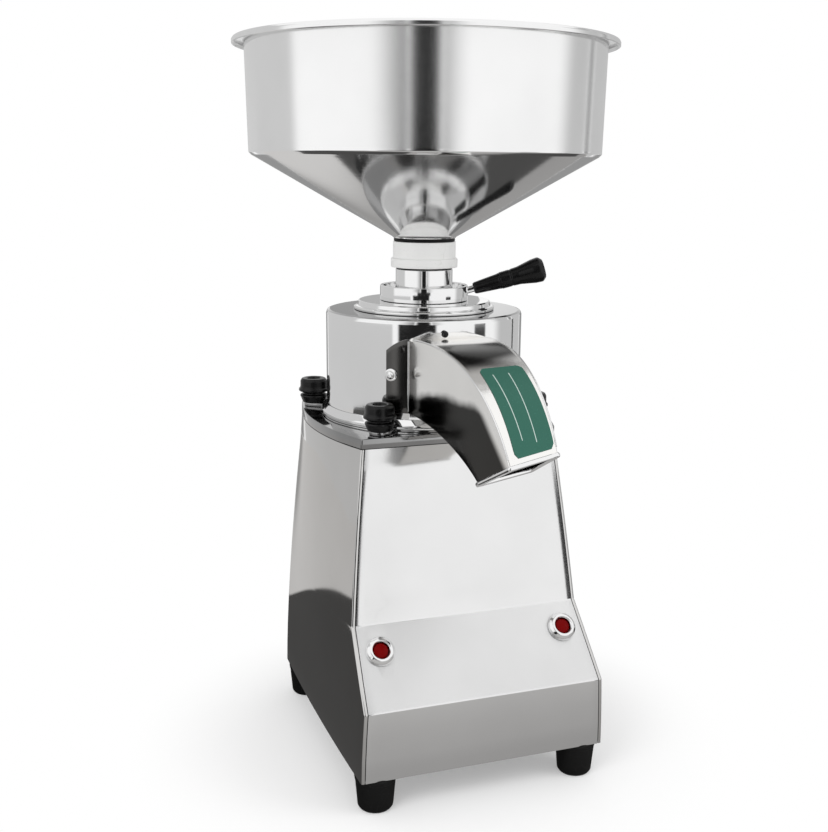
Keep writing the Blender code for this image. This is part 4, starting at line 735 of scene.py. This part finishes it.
def side_at(share, height):
    """The bow runs out quickly below the plate and slowly towards the foot."""
    down = min(max((STAND_TOP - height) / (STAND_TOP - STAND_FOOT), 0), 1)
    return blend_value(bowed(TOP_SIDE, share, FRONT_LINE[0][1]), bowed(FOOT_SIDE, share, FRONT_LINE[-1][1]),
                       1 - (1 - down) ** 1.5)


def bent_front():
    """The front line's places and heights with its creases rounded."""
    points = [(y, z, 0 if z in (STAND_TOP, STAND_FOOT) else CREASE_BEND) for z, y in FRONT_LINE]
    line = rounded(points, 6)
    result = []
    for (y, z), (next_y, next_z) in zip(line, line[1:]):
        count = max(1, round((z - next_z) / (18 * MM)))
        result += [(blend_value(y, next_y, share), blend_value(z, next_z, share)) for share in shares(count)[:-1]]
    return result + [line[-1]]


def half_plan(height, front):
    """Right half of the shell's plan: the strip folded to the front, the fold, the side, the rear corner."""
    corner = side_at(0, height)
    places = [(corner - 3.1 * MM, front), (corner - 2.4 * MM, front)]
    for share in shares(5):
        turn = math.pi / 2 * share
        places.append((corner + SIDE_FOLD * (math.sin(turn) - 1), front + SIDE_FOLD * (1 - math.cos(turn))))
    for share in shares(18)[1:]:
        places.append((side_at(share, height), blend_value(front + SIDE_FOLD, REAR - REAR_BEND, share)))
    x = side_at(1, height) - REAR_BEND
    for share in shares(8)[1:]:
        turn = math.pi / 2 * share
        places.append((x + REAR_BEND * math.cos(turn), REAR + REAR_BEND * (math.sin(turn) - 1)))
    return places + [(x * (1 - share), REAR) for share in shares(6)[1:]]


def whole_plan(right):
    """The right half and its mirror image, round the mill axis."""
    return [(x, AXIS_Y + y) for x, y in right + [(-x, y) for x, y in reversed(right[:-1])]]


def make_stand():
    shell = sheet_piece("folded_stand_shell",
                        [[(*place, z) for place in whole_plan(half_plan(z, y))] for y, z in bent_front()])
    x, _, z = middle("cord_gland")
    drill(shell, 8.1 * MM, 6 * MM, Matrix.Translation((x, AXIS_Y + REAR, z)) @ Matrix.Rotation(math.pi / 2, 4, "X"))
    round_edges(shell, 0.25 * MM)
    dress(shell, "stand", side_steel, "satin_steel", "body_shell")

    rows = []
    for y, z in bent_front():
        half = side_at(0, z) - 3.7 * MM
        rows.append([(blend_value(half, -half, share), AXIS_Y + y, z) for share in shares(24)])
    panel = sheet_piece("bent_front_panel", rows)
    for side in (-1, 1):
        drill(panel, 8.7 * MM, 6 * MM, button_place(side))
    round_edges(panel, 0.25 * MM)
    dress(panel, "stand", front_steel, "satin_steel", "front_panel")


def make_plate():
    foot, top = low("top_plate"), high("top_plate")
    outline = whole_plan(half_plan(STAND_TOP, FRONT_LINE[0][1])[2:])
    plate = flat_piece("polished_top_plate", outline, foot, top, 0.7 * MM, 3)
    holes = [(16.0 * MM, MILL_AXIS, 64)]
    holes += [(STUD_HOLE, middle("clamp_stud_" + corner)[:2], 32) for corner in CORNERS]
    holes += [(2.8 * MM, middle(f"motor_bolt_{number}")[:2], 32) for number in range(1, 5)]
    for radius, place, vertices in holes:
        cut(plate, post("hole_tool", radius, foot - 5 * MM, top + 5 * MM, *place, vertices))
    # The plate's dark colour is a painted shade
    dress(plate, "stand", plate_shaded_steel, "polished_steel", "top_plate")


def make_feet():
    shape = [(0, 30.2, 0), (17.5, 30.2, 0.8), (17.8, 28.8, 0.8), (17.4, 26.2, 1.0), (17.0, 25.2, 0.6), (15.0, 2.6, 2.0),
             (13.2, 0, 1.6), (7.2, 0, 0.5), (6.4, 1.6, 0.5), (5.0, 1.8, 0.4), (5.0, 8.0, 0.3), (0, 8.0, 0)]
    for corner in CORNERS:
        foot = turned("tapered_foot_" + corner, shape, 4, 72, centre=middle("foot_" + corner)[:2])
        dress(foot, "stand", black_rubber, "black_rubber", "foot_" + corner, angle=50)


# Buttons

def button_place(side):
    """The place on the sloping facet at a button, left -1 or right 1, +Z straight out."""
    (upper_z, upper_y), (lower_z, lower_y) = FRONT_LINE[1], FRONT_LINE[2]
    down = Vector((0, lower_y - upper_y, lower_z - upper_z))
    centre = Vector((side * BUTTON_SIDE, AXIS_Y + upper_y, upper_z)) + down * BUTTON_SHARE
    return facing(centre, Vector((0, down[2], -down[1])).normalized())


def make_buttons():
    bezel_shape = [(7.1, 4.2, 0.3), (8.0, 5.4, 0.6), (9.8, 5.2, 1.4), (12.0, 3.2, 2.4), (12.8, 0.9, 0.8),
                   (12.8, 0.3, 0.2), (7.1, 0.3, 0.2)]
    cap_shape = [(0, 4.2, 0), (2.1, 4.05, 0), (4.0, 3.7, 0), (5.6, 3.3, 0), (6.4, 2.8, 0), (6.7, 1.8, 0),
                 (6.7, -8.0, 0), (0, -8.0, 0)]
    for side, sign, body in (("left", -1, "start_button"), ("right", 1, "stop_button")):
        place = button_place(sign)
        bezel = move_to(turned("domed_bezel_" + side, bezel_shape, 6, 96, centre=ORIGIN), place)
        dress(bezel, "stand", mirror_steel, "polished_steel", "button_bezel_" + side, angle=40)
        cap = move_to(turned("red_cap_" + side, cap_shape, 1, 12, centre=ORIGIN), place)
        dress(cap, body, ruby_cap, "red_lens", "button_lens_" + side, angle=3)
        finish_node("switch_body_" + side, black_plastic)
        finish_node("switch_nut_" + side, turned_steel)


# Chute

def curve_point(points, share):
    rest = 1 - share
    weights = (rest ** 3, 3 * rest ** 2 * share, 3 * rest * share ** 2, share ** 3)
    return sum((point * weight for weight, point in zip(weights, points)), Vector((0, 0)))


def chute_x(y, pair):
    return blend_value(*pair, (y + CHUTE_ROOT) / (CHUTE_ROOT - CHUTE_MOUTH))


def chute_ring(outer, floor, widen, bend, turned_share=0.0):
    """A section of the duct with rounded corners, from the outer curve's left round by its right."""
    across = (outer - floor).normalized()
    top, bottom = outer + across * widen, floor - across * widen
    corners = [Vector((chute_x(point[0], pair) + side * widen, *point)) for point, pair, side in (
        (top, CHUTE_LEFT, -1), (top, CHUTE_RIGHT, 1), (bottom, CHUTE_RIGHT, 1), (bottom, CHUTE_LEFT, -1))]
    corners[1] += RIGHT_TURN * turned_share
    corners[2] += RIGHT_TURN * turned_share
    ring = []
    for place, corner in enumerate(corners):
        following = corners[(place + 1) % 4]
        before = (corners[place - 1] - corner).normalized() * bend
        after = (following - corner).normalized() * bend
        ring += [corner + before * (1 - share) ** 2 + after * share ** 2 for share in shares(4)]
        ring += [corner + (following - corner) * share for share in shares(6)[1:-1]]
    return [(x, AXIS_Y + y, z) for x, y, z in ring + ring[:1]]


def from_drum(line, count):
    """The part of a line outside the drum, in evenly spaced points."""
    points = [Vector(point) for point in line]

    def depth(point):
        return DRUM_SKIN - math.hypot(point.x, point.y - AXIS_Y)

    first = next(place for place, point in enumerate(points) if depth(point) <= 0)
    share = depth(points[first - 1]) / (depth(points[first - 1]) - depth(points[first]))
    points = [points[first - 1].lerp(points[first], share)] + points[first:]
    reaches = [0.0]
    for before, after in zip(points, points[1:]):
        reaches.append(reaches[-1] + (after - before).length)
    result, place = [], 0
    for part in shares(count - 1):
        reach = reaches[-1] * part
        while place < len(points) - 2 and reaches[place + 1] < reach:
            place += 1
        share = (reach - reaches[place]) / max(reaches[place + 1] - reaches[place], 0.0000001)
        result.append(points[place].lerp(points[place + 1], min(share, 1.0)))
    return result


def make_chute():
    bend = 1.4 * MM
    inside = Vector((20 * MM, 0))
    rows = [chute_ring(OUTER_CURVE[0] + inside, FLOOR_CURVE[0] + inside, 0, bend)]
    for share in shares(80):
        rows.append(chute_ring(curve_point(OUTER_CURVE, share), curve_point(FLOOR_CURVE, share), 0, bend, share ** 2))
    lines = [from_drum([row[column] for row in rows], CHUTE_ROWS) for column in range(len(rows[0]))]
    chute = skin("curved_chute", [[line[row] for line in lines] for row in range(CHUTE_ROWS)], closed=True)
    outwards = sum(polygon.normal.x * math.copysign(1, polygon.center.x)
                   for polygon in chute.data.polygons if abs(polygon.normal.x) > 0.8)
    thicken(chute, SHEET, -1.0 if outwards > 0 else 1.0)
    dress_head(chute, chute_steel, "satin_steel", "discharge_chute", angle=32)

    outer, floor = OUTER_CURVE[-1], FLOOR_CURVE[-1]
    along = (outer - floor).normalized()
    onward = Vector((-along[1], along[0]))
    rings = []
    for reach, widen in ((-0.6, 0.0), (-0.4, 0.7), (0.1, 1.3), (0.9, 1.7), (1.8, 1.75), (2.7, 1.6), (3.4, 1.1),
                         (3.6, 0.4), (3.5, -0.4), (3.0, -1.0), (1.8, -1.3), (0.4, -1.35), (-0.6, -1.3), (-0.6, 0.0)):
        step = onward * reach * MM
        corner = (1.4 + widen) * MM if widen > 0 else 1.0 * MM
        rings.append(chute_ring(outer + step, floor + step, widen * MM, corner, 1.0))
    dress_head(skin("hemmed_mouth", rings, closed=True), mirror_steel, "satin_steel", angle=40)


def drum_point(x, z, out):
    radius = DRUM_SKIN + out
    return (x, AXIS_Y - math.sqrt(radius ** 2 - x ** 2), z)


def radial_place(x, z):
    """A place on the drum, +Z straight out."""
    point = Vector(drum_point(x, z, -0.3 * MM))
    return facing(point, Vector((point.x, point.y - AXIS_Y, 0)).normalized())


def make_tab():
    """The folded tab on the drum at the chute's left, and the flange over its top."""
    def tab_point(across, down):
        top = 371.6 + 9.6 * (1 - (1 - across) ** 2)
        return drum_point(blend_value(-58.0, -41.6, across) * MM, blend_value(top, 318.4, down) * MM, SHEET)

    def flange_point(across, down):
        top = 387.4 - 5.4 * (2 * across - 1) ** 2
        return drum_point(blend_value(-40.5, 25.0, across) * MM, blend_value(top, 380.2, down) * MM, SHEET)

    tab = sheet_piece("drum_side_tab", [[tab_point(across, down) for across in shares(10)] for down in shares(12)])
    for place, radius in ((SIDE_BOLT, 2.1 * MM), ((-45.0 * MM, 374.4 * MM), 0.9 * MM)):
        drill(tab, radius, 4 * MM, radial_place(*place))
    round_edges(tab, 0.2 * MM)
    # The tab's dark colour is a painted reflection
    dress_head(tab, tab_painted_dark_steel, "satin_steel")

    flange = sheet_piece("drum_top_flange",
                         [[flange_point(across, down) for across in shares(24)] for down in shares(2)])
    round_edges(flange, 0.2 * MM)
    dress_head(flange, chute_steel, "satin_steel")


def make_chute_bolts():
    seat = BOLT_SEAT
    shape = [(0, seat + 4.4, 0), (1.8, seat + 4.3, 1.0), (3.3, seat + 3.2, 1.4), (3.6, seat + 1.2, 0.3),
             (3.7, seat + 1.2, 0.2), (5.4, seat + 1.1, 0.4), (5.6, seat + 0.1, 0.4), (1.9, seat, 0.1),
             (1.9, seat - 6.0, 0.3), (0, seat - 6.0, 0)]
    bolt = move_to(turned("domed_side_bolt", shape, 5, 64, centre=ORIGIN), radial_place(*SIDE_BOLT))
    dress_head(bolt, mirror_steel, "polished_steel", "chute_side_bolt", angle=50)
    shape = [(0, seat + 4.2, 0), (1.5, seat + 4.1, 0.6), (2.2, seat + 3.4, 0.5), (2.2, seat + 1.2, 0.2),
             (2.8, seat + 1.1, 0.2), (2.8, seat, 0.2), (1.9, seat, 0.1), (1.9, seat - 6.0, 0.2), (0, seat - 6.0, 0)]
    place = radial_place(TOP_BOLT_X, middle("chute_top_bolt")[2])
    bolt = move_to(turned("small_top_bolt", shape, 4, 48, centre=ORIGIN), place)
    dress_head(bolt, black_plastic, "black_plastic", "chute_top_bolt", angle=50)


def bead(name, points, radius):
    """A thin weld bead along points, made from a curve."""
    curve = bpy.data.curves.new(name, "CURVE")
    curve.dimensions = "3D"
    curve.bevel_depth = radius
    curve.bevel_resolution = 2
    curve.use_fill_caps = True
    spline = curve.splines.new("POLY")
    spline.points.add(len(points) - 1)
    for target, point in zip(spline.points, points):
        target.co = (*point, 1)
    piece = bpy.data.objects.new(name, curve)
    bpy.context.scene.collection.objects.link(piece)
    choose(piece)
    bpy.ops.object.convert(target="MESH")
    dress_head(named(name), mirror_steel, "satin_steel", angle=60)


def make_weld_beads():
    """Bright ground welds along the chute's outer corners and the fold at the drum."""
    inset, drop = 0.35 * MM, 0.25 * MM
    for name, pair, side, turned_share in (("left", CHUTE_LEFT, 1, 0), ("right", CHUTE_RIGHT, -1, 1)):
        points = []
        for share in shares(40)[2:-1]:
            y, z = curve_point(OUTER_CURVE, share)
            place = Vector((chute_x(y, pair) + side * inset, AXIS_Y + y, z - drop))
            points.append(place + RIGHT_TURN * turned_share * share ** 2)
        bead("corner_weld_" + name, points, 0.7 * MM)
    fold = [drum_point(CHUTE_LEFT[0], height * MM, 1.1 * MM) for height in range(320, 382, 3)]
    bead("tab_fold", fold, 0.75 * MM)


def outer_face(share, across, lift):
    """A place on the chute's outer face: share along it, across it and lifted off it."""
    y, z = curve_point(OUTER_CURVE, share)
    ahead = curve_point(OUTER_CURVE, min(share + 0.01, 1)) - curve_point(OUTER_CURVE, max(share - 0.01, 0))
    normal = Vector((ahead[1], -ahead[0])).normalized()
    x = blend_value(chute_x(y, CHUTE_LEFT), chute_x(y, CHUTE_RIGHT), across)
    place = Vector((x, AXIS_Y + y + normal[0] * lift, z + normal[1] * lift))
    return place + RIGHT_TURN * share ** 2 * across


def face_patch(name, start, end, left, right, lift, thickness, material, slot, corner=0.0):
    """A thin plate that follows the chute's outer face, its sides at shares of the face's width."""
    rows = []
    for down in shares(24):
        near_end = min(down, 1 - down) * (end - start)
        inset = 0.0
        if corner and near_end < corner:
            inset = (right[0] - left[0]) * 0.09 * (1 - math.sqrt(max(0.0, 1 - (1 - near_end / corner) ** 2)))
        first, last = blend_value(*left, down) + inset, blend_value(*right, down) - inset
        rows.append([outer_face(blend_value(start, end, down), blend_value(first, last, across), lift)
                     for across in shares(6)])
    piece = skin(name, rows)
    face_out(piece)
    thicken(piece, thickness, 0.0)
    dress_head(piece, material, slot, angle=40)


def make_label():
    """A plain green plate on the chute, with thin white rules."""
    face_patch("green_plate", 0.53, 0.98, (0.21, 0.15), (0.9, 0.95), 0.35 * MM, 0.4 * MM, green_plate, "red_lens", 0.03)
    width = 0.014
    for number, (across, end) in enumerate(((0.36, 0.92), (0.62, 0.94)), 1):
        face_patch(f"white_rule_{number}", 0.58, end, (across, across), (across + width, across + width),
                   0.6 * MM, 0.12 * MM, white_print, "white_nylon")


# Back, base and inner pieces

def make_gland():
    shape = [(3.8, 17.0, 0.4), (6.6, 17.0, 0.8), (7.4, 14.2, 0.4), (6.9, 13.6, 0.3), (7.9, 11.0, 0.4),
             (7.4, 10.4, 0.3), (8.5, 7.8, 0.4), (8.0, 7.2, 0.3), (9.2, 4.2, 0.3), (10.6, 4.0, 0.6), (11.0, 3.4, 0.4),
             (11.0, 0.3, 0.3), (7.8, 0.3, 0.2), (7.8, -9.0, 0.4), (3.8, -9.0, 0.3)]
    x, _, z = middle("cord_gland")
    place = Matrix.Translation((x, AXIS_Y + REAR, z)) @ Matrix.Rotation(-math.pi / 2, 4, "X")
    gland = move_to(turned("ribbed_cord_inlet", shape, 3, 64, centre=ORIGIN), place)
    dress(gland, "stand", black_rubber, "black_plastic", "cord_gland", angle=50)


def finish_inner_nodes():
    finishes = {
        turned_steel: ("motor_shaft", "rotor_nut", "hammer_rotor", "sieve_ring", "gate_blade", "gate_seat",
                       "upper_bearing", "lower_bearing", "motor_bolt_1", "motor_bolt_2", "motor_bolt_3",
                       "motor_bolt_4", "base_plate"),
        cast_metal: ("motor_end_bell", "motor_housing", "motor_tail_bell", "rotor_core"),
        stator_steel: ("stator_core",),
        black_plastic: ("cooling_fan",),
        black_rubber: ("shaft_seal",),
        capacitor_can: ("run_capacitor",),
    }
    for material, nodes in finishes.items():
        for node in nodes:
            finish_node(node, material)


# Studio

def disc(name, radius, y, height):
    deselect()
    bpy.ops.mesh.primitive_circle_add(vertices=96, radius=radius, fill_type="NGON", location=(0, y, height))
    return named(name)


def make_floor():
    """A pale floor that the mill shades, and that fades to plain white round it."""
    floor = disc("studio_floor", 7.0, 0, -0.0002)
    material, tree, shader, place = start_material("pale_floor")
    give(tree, shader, {"Base Color": tint(0.95), "Roughness": 0.9, "Specular IOR Level": 0.1})
    white = add(tree, "Emission", {"Color": (1, 1, 1, 1), "Strength": 1.0})
    fade = carry(tree, vectors(tree, "LENGTH", place), 0.15, 0.29, 0.3, 1.0, smooth=True)
    mixed = add(tree, "MixShader", {0: maths(tree, "MULTIPLY", fade, seen_rays(tree)), 1: shader.outputs[0],
                                    2: white.outputs[0]})
    give(tree, tree.nodes["Material Output"], {"Surface": mixed.outputs[0]})
    floor.data.materials.append(material)


def make_world():
    """A white room that lights a little less than it shows."""
    world = bpy.data.worlds.new("studio_world")
    bpy.context.scene.world = world
    world.use_nodes = True
    tree = world.node_tree
    give(tree, tree.nodes["Background"], {"Color": (1, 1, 1, 1),
                                          "Strength": carry(tree, seen_rays(tree), 0.0, 1.0, 0.8, 1.0)})


def soft_lamp(name, place, size, power):
    lamp = bpy.data.lights.new(name, "AREA")
    lamp.shape = "RECTANGLE"
    lamp.size = lamp.size_y = size
    lamp.energy = power
    holder = bpy.data.objects.new(name, lamp)
    bpy.context.scene.collection.objects.link(holder)
    holder.location = place
    holder.rotation_euler = (Vector((0, 0, 0.3)) - Vector(place)).to_track_quat("-Z", "Y").to_euler()
    holder.visible_glossy = False


def start_glow(name, colour=(1.0, 1.0, 1.0)):
    """A material that only glows: itself, its tree, its glow and the place on the piece."""
    material, tree, shader, place = start_material(name)
    tree.nodes.remove(shader)
    glow = add(tree, "Emission", {"Color": tint(colour)})
    give(tree, tree.nodes["Material Output"], {"Surface": glow.outputs[0]})
    return material, tree, glow, place


def only_in_gloss(card, material):
    """Only the steel sees the card."""
    card.data.materials.append(material)
    card.visible_camera = False
    card.visible_diffuse = False
    card.visible_shadow = False
    card.visible_transmission = False


def studio_card(name, azimuth, half_angle, reach, bottom, top, grey, edge_share):
    """An upright card curved round the mill, grey in its middle and paler towards its ends."""
    azimuth, half_angle = math.radians(azimuth), math.radians(half_angle)
    turns = [azimuth + half_angle * (2 * share - 1) for share in shares(12)]
    card = skin(name, [[(reach * math.cos(turn), AXIS_Y + reach * math.sin(turn), height) for turn in turns]
                       for height in (top, bottom)])
    material, tree, glow, place = start_glow(name + "_tone")
    from_axis = vectors(tree, "SUBTRACT", place, (*MILL_AXIS, 0.0))
    faced = add(tree, "VectorRotate", {"Vector": from_axis, "Angle": -azimuth}, rotation_type="Z_AXIS")
    parts = add(tree, "SeparateXYZ", {0: faced.outputs[0]}).outputs
    away = maths(tree, "ABSOLUTE", maths(tree, "ARCTAN2", parts["Y"], parts["X"]))
    give(tree, glow, {"Strength": carry(tree, away, half_angle * (1 - edge_share), half_angle, grey, 1.0, smooth=True)})
    only_in_gloss(card, material)


def floor_shade_card():
    """A card lying round the mill, seen only by the steel: its dark middle is a painted shadow of the mill on the
    floor, with paler light beyond its front and back edges.
    """
    card = disc("floor_shade_card", 1.28, AXIS_Y, -0.0001)
    settle(card)
    material, tree, glow, place = start_glow("floor_shade_tone", (1.0, 0.985, 0.97))
    ahead = plane_distance(tree, place, FORWARD, AXIS_Y)
    rightwards = plane_distance(tree, place, (1.0, 0.0, 0.0), 0.0)
    front_tone = times(tree, above(tree, ahead, 0.13, 0.19), carry(tree, ahead, 0.2, 0.36, 0.36, 0.5))
    back_tone = times(tree, below(tree, ahead, -0.38, -0.365),
                      carry(tree, rightwards, -0.16, -0.02, 0.62, 0.32, smooth=True))
    # The least tone, near the mill, is the painted shadow on the floor
    tone = maths(tree, "MAXIMUM", maths(tree, "ADD", front_tone, back_tone), 0.072)
    give(tree, glow, {"Strength": tone})
    only_in_gloss(card, material)


def make_camera():
    """The photograph's view: from the left of the front and a little above."""
    yaw, pitch, roll = -0.34705, 0.22388, 0.0085875
    distance, width, height = 1.06836, 828, 832
    focal_length, centre_x, centre_y = 1152.29, 422.77, 429.53    # in pixels of the photograph
    data = bpy.data.cameras.new("photo_camera")
    data.sensor_fit = "HORIZONTAL"
    data.sensor_width = 36.0
    data.lens = focal_length / width * data.sensor_width
    data.shift_x = (width / 2 - centre_x) / width
    data.shift_y = (centre_y - height / 2) / width
    data.clip_end = 50.0
    camera = bpy.data.objects.new("photo_camera", data)
    bpy.context.scene.collection.objects.link(camera)
    camera.matrix_world = (Matrix.Translation((*MILL_AXIS, 284.5 * MM)) @ Matrix.Rotation(yaw, 4, "Z")
                           @ Matrix.Rotation(math.pi / 2 - pitch, 4, "X") @ Matrix.Rotation(roll, 4, "Z")
                           @ Matrix.Translation((0, 0, distance)))
    bpy.context.scene.camera = camera


# Azimuth, half angle, reach, bottom, top, grey and the share of the half angle that fades
CARDS = {
    "front_flag": (-110, 10.5, 1.35, 0.36, 1.6, 0.012, 0.45),
    "front_halo": (-113, 30, 1.4, 0.36, 1.6, 0.2, 0.9),
    "collar_flag": (-110, 19, 1.35, 0.29, 0.36, 0.02, 0.25),
    "drum_flag": (-117, 22.5, 1.35, 0.0, 0.29, 0.015, 0.15),
    "drum_right_flag": (-44, 8, 1.3, 0.0, 0.26, 0.04, 0.2),
    "left_wall_card": (126, 45, 1.3, 0.26, 1.6, 0.62, 0.2),
    "left_low_card": (158.5, 58.5, 1.28, 0.0, 0.27, 0.62, 0.05),
    "back_low_card": (68, 32, 1.29, 0.0, 0.42, 0.3, 0.15),
    "right_wall_card": (19, 46, 1.3, 0.0, 1.6, 0.55, 0.35),
    "right_thin_flag": (13.5, 2.8, 1.25, 0.0, 0.4, 0.1, 0.4),
    "right_soft_flag": (7.5, 5, 1.25, 0.4, 1.6, 0.28, 0.7),
    "back_card": (66, 50, 1.36, 0.42, 0.66, 0.45, 0.2),
}

make_camera()
make_world()
make_floor()
soft_lamp("left_soft_lamp", (-1.9, -1.3, 1.9), 1.4, 26)
soft_lamp("right_soft_lamp", (1.7, -1.2, 1.6), 1.2, 14)
for card_name, card_sizes in CARDS.items():
    studio_card(card_name, *card_sizes)
floor_shade_card()

make_hopper()
make_coupler()
make_drum()
make_lid_boss()
make_tube()
make_collar()
make_lever()
make_flange()
make_knobs()
make_stand()
make_plate()
make_feet()
make_buttons()
make_chute()
make_tab()
make_weld_beads()
make_label()
make_chute_bolts()
make_gland()
finish_inner_nodes()

bpy.context.scene.view_settings.view_transform = "Standard"
